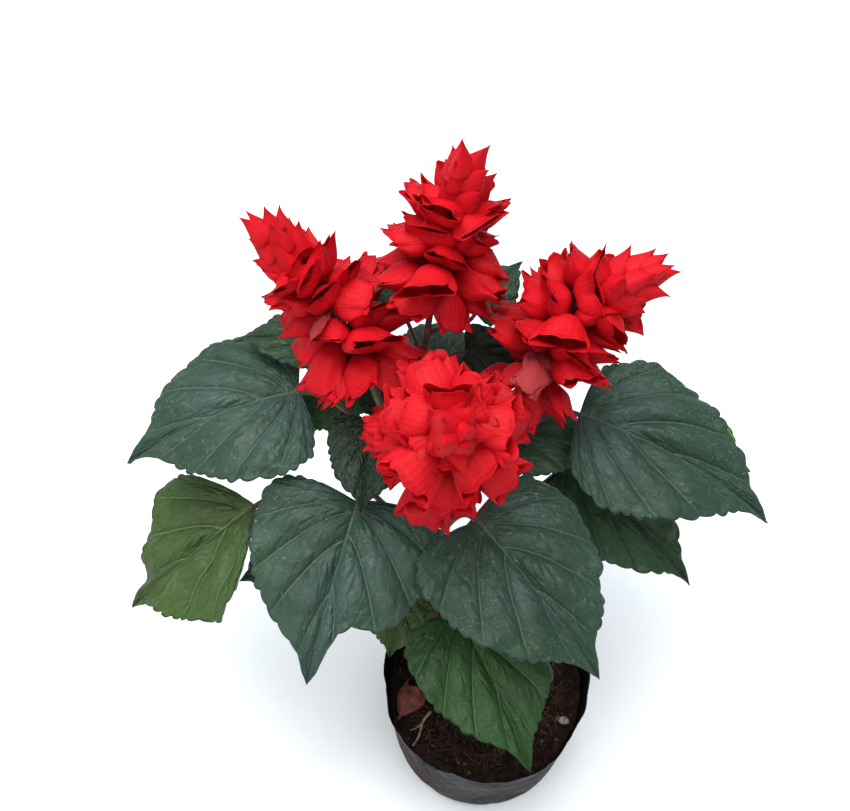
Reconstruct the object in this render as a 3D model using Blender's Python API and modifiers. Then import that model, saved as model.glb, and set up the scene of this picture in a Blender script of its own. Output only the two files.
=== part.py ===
"""Potted scarlet sage (Salvia splendens) in a black film grow bag, as an assembly of closed solids.

Metres, +Z up. The origin is the centre of the bag's underside, and the bag stands on the plane Z = 0.
The flower spikes lean to -X (left), +Y (back), +X (right) and -Y (front).
"""

from dataclasses import dataclass
from math import cos, pi, radians, sin

import bmesh
import bpy
import numpy as np

# ---- Driving dimensions, in metres ----
MM = 0.001
GAP = 0.3 * MM  # between pieces that touch
WELD = 0.001 * MM  # points nearer than this are one

BAG_HEIGHT = 75 * MM
BAG_BASE_RADIUS = 46 * MM
BAG_RIM_RADIUS = 50 * MM
BAG_WALL = 0.6 * MM
BAG_FOLDS = 5  # broad folds round the wall
BAG_FOLD_DEPTH = 0.8 * MM

SOIL_HEIGHT = 58 * MM
SOIL_RIPPLE = 1.5 * MM

STEM_RADIUS = 3.2 * MM
STEM_TIP_RADIUS = 1.5 * MM
BRANCH_RADIUS = 2.0 * MM
BRANCH_TIP_RADIUS = 1.2 * MM

PETIOLE_RADIUS = 1.3 * MM
BLADE_HALF_THICKNESS = 0.45 * MM

HUB_WALL = 1.0 * MM
HUB_HALF_HEIGHT = 1.6 * MM
HUB_SIDES = 8


@dataclass(frozen=True)
class Stem:
    """A round stem along a smooth path. The points are its axis, from the foot to the tip."""

    name: str
    path: tuple
    foot_radius: float
    tip_radius: float


@dataclass(frozen=True)
class Leaf:
    """One leaf. Lengths are in millimetres and angles in degrees.

    heading turns anticlockwise from +X seen from above, and pitch is the midrib's climb at the blade's
    base. droop, bend and twist are how far the midrib bends down, turns left and rolls by its tip. fold
    lifts both halves of the blade and curl bends them down again towards their margins; skew moves curl
    from the right half to the left.
    """

    name: str
    stem: str
    root_height: float
    base: tuple
    heading: float
    pitch: float
    roll: float
    length: float
    width: float
    droop: float = 30
    bend: float = 0
    twist: float = 0
    fold: float = 12
    curl: float = 30
    skew: float = 0
    lobe: float = 0.13


@dataclass(frozen=True)
class Whorl:
    """A ring of calyces round a spike's axis. Millimetres and degrees.

    below is the distance down the axis from its tip. tilt is each calyx's lean away from the axis: 90
    stands straight out and more than that hangs.
    """

    below: float
    count: int
    tilt: float
    length: float
    width: float
    turn: float


STEMS = (
    Stem(
        "main_stem",
        (
            (-22, 20, 44), (-25, 24, 80), (-28, 30, 125), (-28, 36, 170),
            (-25, 42, 205), (-22, 44, 228), (-21, 38, 244), (-21, 30, 258), (-21, 25, 266),
        ),
        STEM_RADIUS,
        STEM_TIP_RADIUS,
    ),
    Stem(
        "branch_left",
        ((-28, 34, 150), (-40, 56, 190), (-53, 78, 222), (-62, 90, 240), (-70, 96, 252), (-79, 100, 265)),
        BRANCH_RADIUS,
        BRANCH_TIP_RADIUS,
    ),
    Stem(
        "branch_back",
        ((-28, 32, 140), (-32, 62, 182), (-30, 90, 225), (-25, 104, 255), (-20, 113, 272), (-18, 115, 284)),
        BRANCH_RADIUS,
        BRANCH_TIP_RADIUS,
    ),
    Stem(
        "branch_right",
        ((-28, 35, 160), (-8, 58, 194), (14, 74, 220), (24, 86, 240), (30, 92, 251), (40, 93, 259)),
        BRANCH_RADIUS,
        BRANCH_TIP_RADIUS,
    ),
)

LEAVES = (
    Leaf("leaf_left_upper", "branch_left", 184, (-86, 89, 196), 192, 0, 0, 84, 82, bend=14, skew=-6),
    Leaf(
        "leaf_left_lower", "main_stem", 120, (-108, 50, 161), 207, -28, 0, 86, 80,
        droop=20, bend=-6, curl=16, lobe=-0.14,
    ),
    Leaf("leaf_front_left", "main_stem", 132, (-59, 41, 182), 253, -12, -4, 81, 81, skew=8),
    Leaf("leaf_front_right", "main_stem", 148, (-8, 30, 186), 311, -8, 2, 84, 78, skew=6),
    Leaf("leaf_right_upper", "branch_right", 186, (38, 78, 195), 339, -3, 7, 98, 74, bend=-9, lobe=0.03),
    Leaf("leaf_right_lower", "main_stem", 126, (36, 70, 164), 323, -14, 4, 83, 58),
    Leaf("leaf_front_low", "main_stem", 100, (-15, 12, 128), 298, -5, 0, 78, 64, bend=-4),
    Leaf("leaf_front_left_low", "main_stem", 90, (-40, 28, 112), 254, -20, 0, 32, 34),
    Leaf("leaf_back_left", "branch_left", 200, (-72, 108, 206), 172, 6, 0, 46, 30),
    Leaf("leaf_left_small", "branch_left", 172, (-62, 98, 186), 204, -12, 0, 40, 30),
    Leaf("leaf_back_upper", "branch_back", 218, (-38, 112, 220), 120, 26, 10, 34, 26),
    Leaf("leaf_back_right", "branch_back", 232, (-8, 116, 218), 48, 24, 0, 34, 26),
    Leaf("leaf_centre", "branch_back", 174, (-25, 104, 190), 84, 2, 0, 38, 42),
    Leaf("leaf_centre_left", "branch_back", 182, (-40, 80, 196), 104, 4, 0, 42, 36),
    Leaf("leaf_right_back", "branch_back", 212, (-12, 100, 211), 352, 0, 4, 40, 30),
    Leaf("leaf_left_drooping", "branch_left", 198, (-52, 66, 208), 262, -18, 0, 40, 38, droop=20),
    Leaf("leaf_right_inner", "branch_right", 172, (9, 72, 188), 2, -6, 0, 44, 42),
    Leaf("leaf_right_far", "main_stem", 112, (89, 96, 150), 336, 2, 0, 44, 46),
    Leaf("leaf_left_far", "main_stem", 106, (-80, 42, 130), 192, -8, 0, 44, 36),
)

SPIKES = {
    "main_stem": (
        Whorl(7, 6, 60, 24, 13, 0),
        Whorl(19, 6, 84, 26, 14, 30),
        Whorl(32, 6, 108, 28, 13, 0),
        Whorl(45, 3, 138, 26, 11, 262),
    ),
    "branch_left": (
        Whorl(6, 5, 58, 20, 12, 0),
        Whorl(19, 5, 82, 22, 13, 36),
        Whorl(33, 5, 104, 26, 13, 0),
        Whorl(46, 4, 132, 26, 12, 45),
    ),
    "branch_back": (
        Whorl(6, 5, 58, 20, 12, 0),
        Whorl(18, 6, 86, 23, 13, 36),
        Whorl(31, 6, 110, 25, 13, 0),
    ),
    "branch_right": (
        Whorl(6, 5, 58, 20, 12, 0),
        Whorl(18, 5, 82, 24, 13, 36),
        Whorl(32, 6, 102, 28, 13, 0),
        Whorl(46, 3, 132, 26, 12, 270),
    ),
}

# The buds at each spike's tip, tier by tier: climb up the core, count, tilt, length and width
BUD_TIERS = ((0, 5, 32, 19, 9), (6, 4, 19, 19, 9), (12, 3, 8, 18, 8))

# What lies on the soil: its middle in X and Y, and its length, width and height, in millimetres
LITTER = {
    "fallen_calyx": ((-38, -8), (17, 14, 3.0)),
    "fallen_petal": ((-24, 33), (7, 4, 1.2)),
    "pebble": ((39, -18), (5, 4, 3.0)),
}
LITTER_TURN = {"fallen_calyx": 60, "fallen_petal": 20, "pebble": 0}
STRAW = ((-27, -13), (-31, -18), (-33, -25), (-36, -30))
STRAW_RADIUS = 0.8 * MM
REST_CLEARANCE = 1.0 * MM  # above the soil's local height, so that its waves stay clear


# ---- Paths and lofts ----


def smooth_path(points, steps_between=2):
    """A Catmull-Rom curve through the points, which reaches the first and the last."""
    points = np.asarray(points, float)
    ends = 2 * points[[0, -1]] - points[[1, -2]]
    padded = np.vstack([ends[:1], points, ends[1:]])
    t = np.linspace(0, 1, steps_between, endpoint=False)[:, None]
    pieces = []
    for a, b, c, d in zip(padded, padded[1:], padded[2:], padded[3:]):
        pieces.append(
            b + 0.5 * t * (c - a)
            + t**2 * (a - 2.5 * b + 2 * c - 0.5 * d)
            + t**3 * (1.5 * (b - c) + 0.5 * (d - a))
        )
    return np.vstack([*pieces, points[-1:]])


def hermite(start, start_slope, end, end_slope, count):
    """Points on the cubic that leaves start and reaches end with the given slopes."""
    t = np.linspace(0, 1, count)[:, None]
    return (
        (2 * t**3 - 3 * t**2 + 1) * start
        + (t**3 - 2 * t**2 + t) * start_slope
        + (3 * t**2 - 2 * t**3) * end
        + (t**3 - t**2) * end_slope
    )


def unit(vectors):
    return vectors / np.linalg.norm(vectors, axis=-1, keepdims=True)


def square_to(vectors, tangents):
    """The vectors with their part along the tangents taken out, at unit length."""
    along = np.sum(vectors * tangents, axis=-1, keepdims=True)
    return unit(vectors - along * tangents)


def loft(rings, first_centre, last_centre):
    """Vertices and faces of a closed skin over the rings, each end a fan to its centre."""
    count, sides = rings.shape[:2]
    points = np.vstack([rings.reshape(-1, 3), first_centre, last_centre])
    faces = []
    for i in range(count - 1):
        for j in range(sides):
            k = (j + 1) % sides
            faces.append((i * sides + j, i * sides + k, (i + 1) * sides + k, (i + 1) * sides + j))
    last = (count - 1) * sides
    for j in range(sides):
        k = (j + 1) % sides
        faces.append((count * sides, k, j))
        faces.append((count * sides + 1, last + j, last + k))
    return points, faces


# ---- Objects ----


def principled(name, color, roughness):
    """A material with one Principled BSDF."""
    material = bpy.data.materials.new(name)
    material.use_nodes = True
    shader = material.node_tree.nodes["Principled BSDF"]
    shader.inputs["Base Color"].default_value = (*color, 1)
    shader.inputs["Roughness"].default_value = roughness
    shader.inputs["Metallic"].default_value = 0
    material.diffuse_color = (*color, 1)
    return material


def add_mesh(name, points, faces, material, collection):
    """A closed mesh object with its faces turned outwards."""
    mesh = bpy.data.meshes.new(name)
    mesh.from_pydata(np.asarray(points).tolist(), [], faces)
    tidy = bmesh.new()
    tidy.from_mesh(mesh)
    bmesh.ops.recalc_face_normals(tidy, faces=tidy.faces)
    tidy.to_mesh(mesh)
    tidy.free()
    mesh.materials.append(material)
    mesh.shade_smooth()
    mesh.set_sharp_from_angle(angle=radians(40))
    thing = bpy.data.objects.new(name, mesh)
    collection.objects.link(thing)
    return thing


def add_open_mesh(name, points, faces, material, collection):
    """An open surface whose faces already point outwards, for Solidify."""
    mesh = bpy.data.meshes.new(name)
    mesh.from_pydata(np.asarray(points).tolist(), [], faces)
    mesh.materials.append(material)
    mesh.shade_smooth()
    thing = bpy.data.objects.new(name, mesh)
    collection.objects.link(thing)
    return thing


def add_tube(name, path, radii, material, collection):
    """A tapered round bar: a curve object with a bevel and filled caps."""
    curve = bpy.data.curves.new(name, "CURVE")
    curve.dimensions = "3D"
    curve.bevel_depth = 1.0
    curve.bevel_resolution = 2
    curve.use_fill_caps = True
    spline = curve.splines.new("POLY")
    spline.points.add(len(path) - 1)
    for point, place, radius in zip(spline.points, path, radii):
        point.co = (*place, 1)
        point.radius = radius
    curve.materials.append(material)
    thing = bpy.data.objects.new(name, curve)
    collection.objects.link(thing)
    return thing


def made_mesh(thing):
    """The object again as a mesh with its modifiers applied, and a curve's loose caps welded on."""
    graph = bpy.context.evaluated_depsgraph_get()
    mesh = bpy.data.meshes.new_from_object(thing.evaluated_get(graph))
    if thing.type == "CURVE":
        welded = bmesh.new()
        welded.from_mesh(mesh)
        bmesh.ops.remove_doubles(welded, verts=welded.verts, dist=WELD)
        bmesh.ops.recalc_face_normals(welded, faces=welded.faces)
        welded.to_mesh(mesh)
        welded.free()
    name, matrix, collection = thing.name, thing.matrix_world.copy(), thing.users_collection[0]
    bpy.data.objects.remove(thing)
    mesh.name = name
    solid = bpy.data.objects.new(name, mesh)
    solid.matrix_world = matrix
    collection.objects.link(solid)
    return solid


def outer_skin(thing):
    """The object with its modifiers applied and any sealed hollow inside it filled."""
    solid = made_mesh(thing)
    inner = bmesh.new()
    inner.from_mesh(solid.data)
    seen, skins = set(), []
    for start in inner.verts:
        if start in seen:
            continue
        seen.add(start)
        skin, waiting = [], [start]
        while waiting:
            vertex = waiting.pop()
            skin.append(vertex)
            for edge in vertex.link_edges:
                other = edge.other_vert(vertex)
                if other not in seen:
                    seen.add(other)
                    waiting.append(other)
        skins.append(skin)
    skins.sort(key=len)
    bmesh.ops.delete(inner, geom=[vertex for skin in skins[:-1] for vertex in skin], context="VERTS")
    inner.to_mesh(solid.data)
    inner.free()
    return solid


def boolean(thing, other, operation, overlapping=False):
    """Joins other to the object or cuts it away, and hides other as a helper."""
    modifier = thing.modifiers.new(operation.title(), "BOOLEAN")
    modifier.operation = operation
    modifier.object = other
    modifier.solver = "EXACT"
    modifier.use_self = overlapping
    other.hide_render = True
    other.display_type = "WIRE"


# ---- Bag and soil ----


def bag_radius(angle, height):
    """The bag's outer radius: a taper with broad folds, which fade out towards its base."""
    share = height / BAG_HEIGHT
    taper = BAG_BASE_RADIUS + (BAG_RIM_RADIUS - BAG_BASE_RADIUS) * share
    folds = np.sin(BAG_FOLDS * angle + 1.2 * share) + 0.5 * np.sin((2 * BAG_FOLDS + 1) * angle)
    return taper + BAG_FOLD_DEPTH * share * folds


def ring_points(radius, height, angles):
    """Points round the Z axis. radius and height are numbers or one for each angle."""
    flat = np.zeros_like(angles)
    return np.stack([radius * np.cos(angles), radius * np.sin(angles), height + flat], axis=-1)


BAG_SIDES = 28
BAG_LEVELS = (0, 0.04, 0.25, 0.5, 0.75, 1)  # shares of the bag's height


def make_bag(material, collection):
    """The film as an open cup of rings, given its thickness inwards."""
    angles = np.linspace(0, 2 * pi, BAG_SIDES, endpoint=False)
    rings = [ring_points(BAG_BASE_RADIUS * 0.55, 0.0, angles)]
    for level in BAG_LEVELS:
        inset = 1.5 * MM if level == 0 else 0.0  # a small round at the bottom edge
        height = BAG_HEIGHT * level
        rings.append(ring_points(bag_radius(angles, height) - inset, height, angles))
    points, faces = loft(np.array(rings), np.zeros(3), np.zeros(3))
    top_centre = len(points) - 1
    faces = [face for face in faces if top_centre not in face]
    bag = add_open_mesh("grow_bag", points[:-1], faces, material, collection)
    shell = bag.modifiers.new("Film", "SOLIDIFY")
    shell.thickness = BAG_WALL
    shell.offset = -1
    shell.use_even_offset = True
    return bag


def soil_height(x, y):
    """The soil's top: low waves, a little higher round the stem's foot."""
    waves = np.sin(x / (9 * MM)) * np.cos(y / (7 * MM)) + 0.6 * np.sin((x + 2 * y) / (5 * MM))
    return SOIL_HEIGHT + SOIL_RIPPLE * 0.5 * waves


def make_soil(stem_foot, material, collection):
    """The packed soil: it fills the bag's folds and has a hole for the stem's buried foot."""
    angles = np.linspace(0, 2 * pi, BAG_SIDES, endpoint=False)
    clear = BAG_WALL + 2 * GAP
    floor = BAG_WALL + GAP
    rings = [ring_points(BAG_BASE_RADIUS - clear - 2 * MM, floor, angles)]
    for height in (4 * MM, SOIL_HEIGHT / 2, SOIL_HEIGHT - 3 * MM):
        rings.append(ring_points(bag_radius(angles, height) - clear, height, angles))
    for share in (0.97, 0.78, 0.58, 0.38, 0.19):
        ring = ring_points(share * (bag_radius(angles, SOIL_HEIGHT) - clear), 0.0, angles)
        ring[:, 2] = soil_height(ring[:, 0], ring[:, 1])
        rings.append(ring)
    centre_top = np.array([0, 0, soil_height(0.0, 0.0)])
    points, faces = loft(np.array(rings), np.array([0, 0, floor]), centre_top)
    soil = add_mesh("soil", points, faces, material, collection)
    boolean(soil, stem_foot, "DIFFERENCE")
    return soil


def make_litter(name, material, collection):
    """A flattened round solid that rests on the soil."""
    (x, y), size = LITTER[name]
    length, width, height = np.array(size) * MM
    x, y = x * MM, y * MM
    mesh = bpy.data.meshes.new(name)
    shape = bmesh.new()
    bmesh.ops.create_icosphere(shape, subdivisions=1, radius=0.5)
    bmesh.ops.scale(shape, vec=(length, width, height), verts=shape.verts)
    shape.to_mesh(mesh)
    shape.free()
    mesh.materials.append(material)
    thing = bpy.data.objects.new(name, mesh)
    thing.location = (x, y, soil_height(x, y) + height / 2 + REST_CLEARANCE)
    thing.rotation_euler.z = radians(LITTER_TURN[name])
    collection.objects.link(thing)
    return thing


def make_straw(material, collection):
    flat = smooth_path(np.array([(x, y, 0) for x, y in STRAW]) * MM)
    flat[:, 2] = soil_height(flat[:, 0], flat[:, 1]).max() + STRAW_RADIUS + GAP
    return add_tube("dry_straw", flat, np.full(len(flat), STRAW_RADIUS), material, collection)


# ---- Stems ----


def stem_axis(stem):
    return smooth_path(np.array(stem.path) * MM)


def path_shares(path):
    """How far along the path each of its points is, from 0 to 1."""
    steps = np.linalg.norm(np.diff(path, axis=0), axis=1)
    return np.concatenate([[0], np.cumsum(steps)]) / steps.sum()


def stem_radii(stem, shares):
    return stem.foot_radius + (stem.tip_radius - stem.foot_radius) * shares


def axis_length(stem):
    return np.linalg.norm(np.diff(stem_axis(stem), axis=0), axis=1).sum()


def stem_place(stem, share):
    """The axis point, its direction and the stem's radius at a share of its length."""
    path = stem_axis(stem)
    shares = path_shares(path)
    place = np.array([np.interp(share, shares, path[:, i]) for i in range(3)])
    step = 0.01
    ahead = np.array([np.interp(min(share + step, 1), shares, path[:, i]) for i in range(3)])
    behind = np.array([np.interp(share - step, shares, path[:, i]) for i in range(3)])
    return place, unit(ahead - behind), stem_radii(stem, share)


def add_stem(stem, name, extra, material, collection):
    """The stem as a tapered tube. extra widens it, for a cutter that leaves a gap."""
    path = stem_axis(stem)
    return add_tube(name, path, stem_radii(stem, path_shares(path)) + extra, material, collection)


# ---- Leaves ----

COLUMNS = np.array([-1, -0.62, -0.28, 0, 0.28, 0.62, 1])  # across the blade, margin to margin
ROWS = np.linspace(0.14, 0.94, 7)  # from the blade's base to near its tip
PETIOLE_STEPS = 4


def outline(leaf, row):
    """Where a side vein leaves the midrib and where it meets the margin, on the flat blade.

    The margin is an ellipse that is broader towards the base and drawn in near the tip, with its base drawn
    back in two lobes. The midrib's share is the square of the ellipse's, so that the veins sweep forwards.
    """
    angle = row * pi
    share = (1 - np.cos(angle)) / 2
    lobes = leaf.lobe * np.sin(np.minimum(2 * angle, pi)) ** 1.3
    drawn_in = 1 - 0.35 * np.exp(-(((share - 0.86) / 0.1) ** 2))
    half = leaf.width / 2 * 1.42 * np.sin(angle) * np.cos(angle / 2) ** 1.5 * drawn_in
    return share**2 * leaf.length * MM, (share - lobes) * leaf.length * MM, half * MM


def blade_frames(leaf):
    """The bent midrib: distances along it, its points and its tangent, side and up directions."""
    shares = np.linspace(-0.3, 1.0, 66)
    heading = np.radians(leaf.heading + leaf.bend * shares)
    pitch = np.radians(leaf.pitch - leaf.droop * np.maximum(shares, 0) ** 1.2)
    roll = np.radians(leaf.roll + leaf.twist * shares)[:, None]
    tangents = np.stack(
        [np.cos(pitch) * np.cos(heading), np.cos(pitch) * np.sin(heading), np.sin(pitch)], axis=-1
    )
    level = np.stack([-np.sin(heading), np.cos(heading), 0 * heading], axis=-1)
    lifted = np.cross(tangents, level)
    sides = np.cos(roll) * level + np.sin(roll) * lifted
    ups = np.cross(tangents, sides)
    distances = shares * leaf.length * MM
    steps = (tangents[1:] + tangents[:-1]) / 2 * np.diff(distances)[:, None]
    points = np.vstack([np.zeros(3), np.cumsum(steps, axis=0)])
    at_base = np.array([np.interp(0, distances, points[:, i]) for i in range(3)])
    return distances, points - at_base + np.array(leaf.base) * MM, tangents, sides, ups


def blade_surface(leaf, along, across):
    """Points and upward normals at distances along the midrib and across it (left is positive)."""
    distances, *curves = blade_frames(leaf)
    spread = [
        np.stack([np.interp(along, distances, curve[:, i]) for i in range(3)], axis=-1)
        for curve in curves
    ]
    points, _, sides, ups = spread
    half = leaf.width / 2 * MM
    curl = np.radians(leaf.curl + leaf.skew * np.sign(across)) + 1e-4
    fold = radians(leaf.fold)
    reach = np.abs(across)
    lean = fold - curl * reach / half
    out = (np.sin(fold) - np.sin(lean)) * half / curl
    rise = (np.cos(lean) - np.cos(fold)) * half / curl
    left = np.sign(across)
    points = points + (out * left)[..., None] * sides + rise[..., None] * ups
    normals = np.cos(lean)[..., None] * ups - (np.sin(lean) * left)[..., None] * sides
    return points, normals


def make_leaf(leaf, stem, stem_cutter, material, collection):
    """One closed skin from the petiole's foot to the blade's tip.

    Each ring runs over the top from the right margin to the left and back underneath. The petiole's rings
    are circles with the same number of points.
    """
    across = COLUMNS[None, :]
    vein, margin, half = (value[:, None] for value in outline(leaf, ROWS))
    along = vein + (margin - vein) * np.abs(across)
    points, normals = blade_surface(leaf, along, half * across)
    thick = (BLADE_HALF_THICKNESS * (1 - 0.6 * np.abs(across)))[..., None]
    top = points + normals * thick
    under = (points - normals * thick)[:, -2:0:-1]
    top[:, [0, -1]] = points[:, [0, -1]]
    blade = np.concatenate([top, under], axis=1)

    distances, curve, tangents, sides, _ = blade_frames(leaf)
    start = int(np.argmin(np.abs(distances)))
    base, base_tangent, base_side = curve[start], tangents[start], sides[start]
    share = np.interp(leaf.root_height * MM, stem_axis(stem)[:, 2], path_shares(stem_axis(stem)))
    root, _, _ = stem_place(stem, share)
    reach = np.linalg.norm(base - root)
    away = unit(unit(base - root) + np.array([0, 0, 0.5]))
    stop = base - base_tangent * 1.5 * MM
    path = hermite(root, away * reach * 0.6, stop, base_tangent * reach * 0.8, PETIOLE_STEPS)
    headings = unit(np.gradient(path, axis=0))
    side = square_to(np.broadcast_to(base_side, headings.shape), headings)
    up = np.cross(headings, side)
    top_angles = np.linspace(pi, 0, len(COLUMNS))
    angles = np.concatenate([top_angles, -top_angles[::-1][1:-1]])
    circle = np.cos(angles)[None, :, None] * side[:, None] + np.sin(angles)[None, :, None] * up[:, None]
    petiole = path[:, None] + circle * PETIOLE_RADIUS
    tip, _ = blade_surface(leaf, np.array(leaf.length * MM), np.array(0.0))
    rings = np.concatenate([petiole, blade])
    thing = add_mesh(leaf.name, *loft(rings, root, tip), material, collection)
    boolean(thing, stem_cutter, "DIFFERENCE")
    return thing


# ---- Flower spikes ----

CALYX_SIDES = 6
CALYX_STATIONS = (0, 0.18, 0.6)  # shares of its length
CALYX_RADII = (0.16, 0.4, 1.0)  # shares of half its width
CALYX_MOUTH = 0.86
PEDICEL = 0.8 * MM


def calyx_skin(foot, direction, upward, length, width):
    """A bell from its foot along direction, with a three-pointed mouth and a shallow hollow."""
    side = unit(np.cross(upward, direction))
    lift = np.cross(direction, side)
    angles = np.linspace(0, 2 * pi, CALYX_SIDES, endpoint=False) + pi / 2
    circle = np.cos(angles)[:, None] * side + 0.8 * np.sin(angles)[:, None] * lift
    rings = []
    for station, share in zip(CALYX_STATIONS, CALYX_RADII):
        radius = max(share * width / 2, PEDICEL)
        rings.append(foot + direction * station * length + circle * radius)
    points_out = np.where(np.arange(CALYX_SIDES) % 2 == 0, 1.0, 0.86)[:, None]
    rings.append(foot + direction * length * points_out + circle * CALYX_MOUTH * width / 2)
    return loft(np.array(rings), foot, foot + direction * length * 0.72)


def join_skins(skins):
    """Several closed skins as one list of points and faces."""
    points, faces, offset = [], [], 0
    for skin_points, skin_faces in skins:
        points.append(skin_points)
        faces += [tuple(i + offset for i in face) for face in skin_faces]
        offset += len(skin_points)
    return np.vstack(points), faces


def across_frame(direction):
    """Two unit directions square to the given one and to each other."""
    helper = np.array([0.0, 1.0, 0.0]) if abs(direction[0]) > 0.9 else np.array([1.0, 0.0, 0.0])
    first = square_to(helper, direction)
    return first, np.cross(direction, first)


def hub_skin(centre, direction, inner, outer, half_height):
    """A closed ring round the axis: one loop through the hole and back over the outside."""
    first, second = across_frame(direction)
    angles = np.linspace(0, 2 * pi, HUB_SIDES, endpoint=False)
    spokes = np.cos(angles)[:, None] * first + np.sin(angles)[:, None] * second
    corners = ((inner, -1), (outer, -1), (outer, 1), (inner, 1))
    points = np.vstack([centre + spokes * r + direction * half_height * s for r, s in corners])
    count, loops = len(angles), len(corners)
    faces = []
    for i in range(loops):
        for j in range(count):
            k, n = (j + 1) % count, (i + 1) % loops
            faces.append((i * count + j, i * count + k, n * count + k, n * count + j))
    return points, faces


def make_whorl(name, stem, whorl, material, collection, cutters):
    """A hub ring with its calyces, joined in one body."""
    centre, direction, stem_radius = stem_place(stem, 1 - whorl.below * MM / axis_length(stem))
    inner = (stem_radius + GAP) / cos(pi / HUB_SIDES) + 0.2 * MM
    tilt = radians(whorl.tilt)
    foot_radius = inner + 0.3 * MM + PEDICEL * abs(cos(tilt))
    hub = hub_skin(centre, direction, inner, foot_radius + HUB_WALL, HUB_HALF_HEIGHT)
    first, second = across_frame(direction)
    bells = []
    for i in range(whorl.count):
        turn = radians(whorl.turn) + 2 * pi * i / whorl.count
        spoke = cos(turn) * first + sin(turn) * second
        lean = cos(tilt) * direction + sin(tilt) * spoke
        upward = sin(tilt) * direction - cos(tilt) * spoke
        foot = centre + spoke * foot_radius
        bells.append(calyx_skin(foot, lean, upward, whorl.length * MM, whorl.width * MM))
    body = add_mesh(name, *hub, material, collection)
    helper = add_mesh(name + "_bells", *join_skins(bells), material, cutters)
    boolean(body, helper, "UNION", overlapping=True)
    return outer_skin(body)


BUD_STATIONS = ((0.08, 0.3), (0.4, 1.0), (0.7, 0.7))  # shares of a bud's length and of half its width


def bud_skin(foot, direction, length, width):
    """A closed four-sided bud: a point at each end, and widest before its middle."""
    first, second = across_frame(direction)
    angles = np.linspace(0, 2 * pi, 4, endpoint=False)
    spokes = np.cos(angles)[:, None] * first + np.sin(angles)[:, None] * second
    rings = [foot + direction * length * s + spokes * width / 2 * r for s, r in BUD_STATIONS]
    return loft(np.array(rings), foot, foot + direction * length)


def make_buds(name, stem, material, collection, cutters):
    """The spike's tip: tiers of narrow buds on a short core beyond the end of the axis."""
    centre, direction, stem_radius = stem_place(stem, 1.0)
    start = centre + direction * 2 * GAP
    first, second = across_frame(direction)
    angles = np.linspace(0, 2 * pi, 8, endpoint=False)
    spokes = np.cos(angles)[:, None] * first + np.sin(angles)[:, None] * second
    core_rings = [start + spokes * 2.2 * MM, start + direction * 12 * MM + spokes * 1.6 * MM]
    core = loft(np.array(core_rings), start, start + direction * 20 * MM)
    bells = []
    for tier, (climb, count, tilt, length, width) in enumerate(BUD_TIERS):
        for i in range(count):
            turn = 2 * pi * (i + 0.5 * (tier % 2)) / count
            spoke = cos(turn) * first + sin(turn) * second
            lean = cos(radians(tilt)) * direction + sin(radians(tilt)) * spoke
            foot = start + direction * (climb + 1.5) * MM + spoke * 1.2 * MM
            bells.append(bud_skin(foot, lean, length * MM, width * MM))
    body = add_mesh(name, *core, material, collection)
    helper = add_mesh(name + "_bells", *join_skins(bells), material, cutters)
    boolean(body, helper, "UNION", overlapping=True)
    return outer_skin(body)


# ---- The plant ----


def main():
    for thing in list(bpy.data.objects):
        bpy.data.objects.remove(thing)
    scene = bpy.context.scene
    plant = bpy.data.collections.new("potted_scarlet_sage")
    cutters = bpy.data.collections.new("cutters")
    scene.collection.children.link(plant)
    scene.collection.children.link(cutters)

    film = principled("black_film", (0.025, 0.023, 0.025), 0.4)
    peat = principled("coco_peat", (0.03, 0.016, 0.012), 0.95)
    bark = principled("stem_bark", (0.10, 0.05, 0.03), 0.7)
    blade = principled("leaf_green", (0.05, 0.11, 0.05), 0.5)
    scarlet = principled("scarlet_calyx", (0.65, 0.01, 0.015), 0.5)
    dry = principled("dried_calyx", (0.16, 0.04, 0.03), 0.8)
    straw = principled("straw", (0.35, 0.22, 0.13), 0.8)
    stone = principled("pebble_stone", (0.35, 0.32, 0.28), 0.7)

    stems = {stem.name: stem for stem in STEMS}
    stem_cutters = {}
    for stem in STEMS:
        body = made_mesh(add_stem(stem, stem.name, 0.0, bark, plant))
        cutter = made_mesh(add_stem(stem, stem.name + "_clearance", GAP, bark, cutters))
        stem_cutters[stem.name] = cutter
        if stem.name != "main_stem":
            boolean(body, stem_cutters["main_stem"], "DIFFERENCE")

    make_bag(film, plant)
    make_soil(stem_cutters["main_stem"], peat, plant)
    make_litter("fallen_calyx", dry, plant)
    make_litter("fallen_petal", scarlet, plant)
    make_litter("pebble", stone, plant)
    make_straw(straw, plant)
    for leaf in LEAVES:
        make_leaf(leaf, stems[leaf.stem], stem_cutters[leaf.stem], blade, plant)
    for stem_name, whorls in SPIKES.items():
        spike = stem_name.replace("main_stem", "front").replace("branch_", "")
        stem = stems[stem_name]
        for number, whorl in enumerate(whorls, 1):
            make_whorl(f"{spike}_whorl_{number}", stem, whorl, scarlet, plant, cutters)
        make_buds(f"{spike}_buds", stem, scarlet, plant, cutters)


main()
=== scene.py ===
"""Potted scarlet sage in a black film grow bag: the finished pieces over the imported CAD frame.

Each CAD node is replaced by one finished piece. Lengths in tables are millimetres and angles
degrees; the meshes are in metres, +Z up, in the CAD frame. A leaf, a stem or a calyx takes its
place from the same driving values as its CAD solid, so that each piece lies where its solid does.
"""

from __future__ import annotations

import logging
from dataclasses import dataclass
from enum import Enum
from functools import reduce
from math import cos, pi, radians, sin

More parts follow.
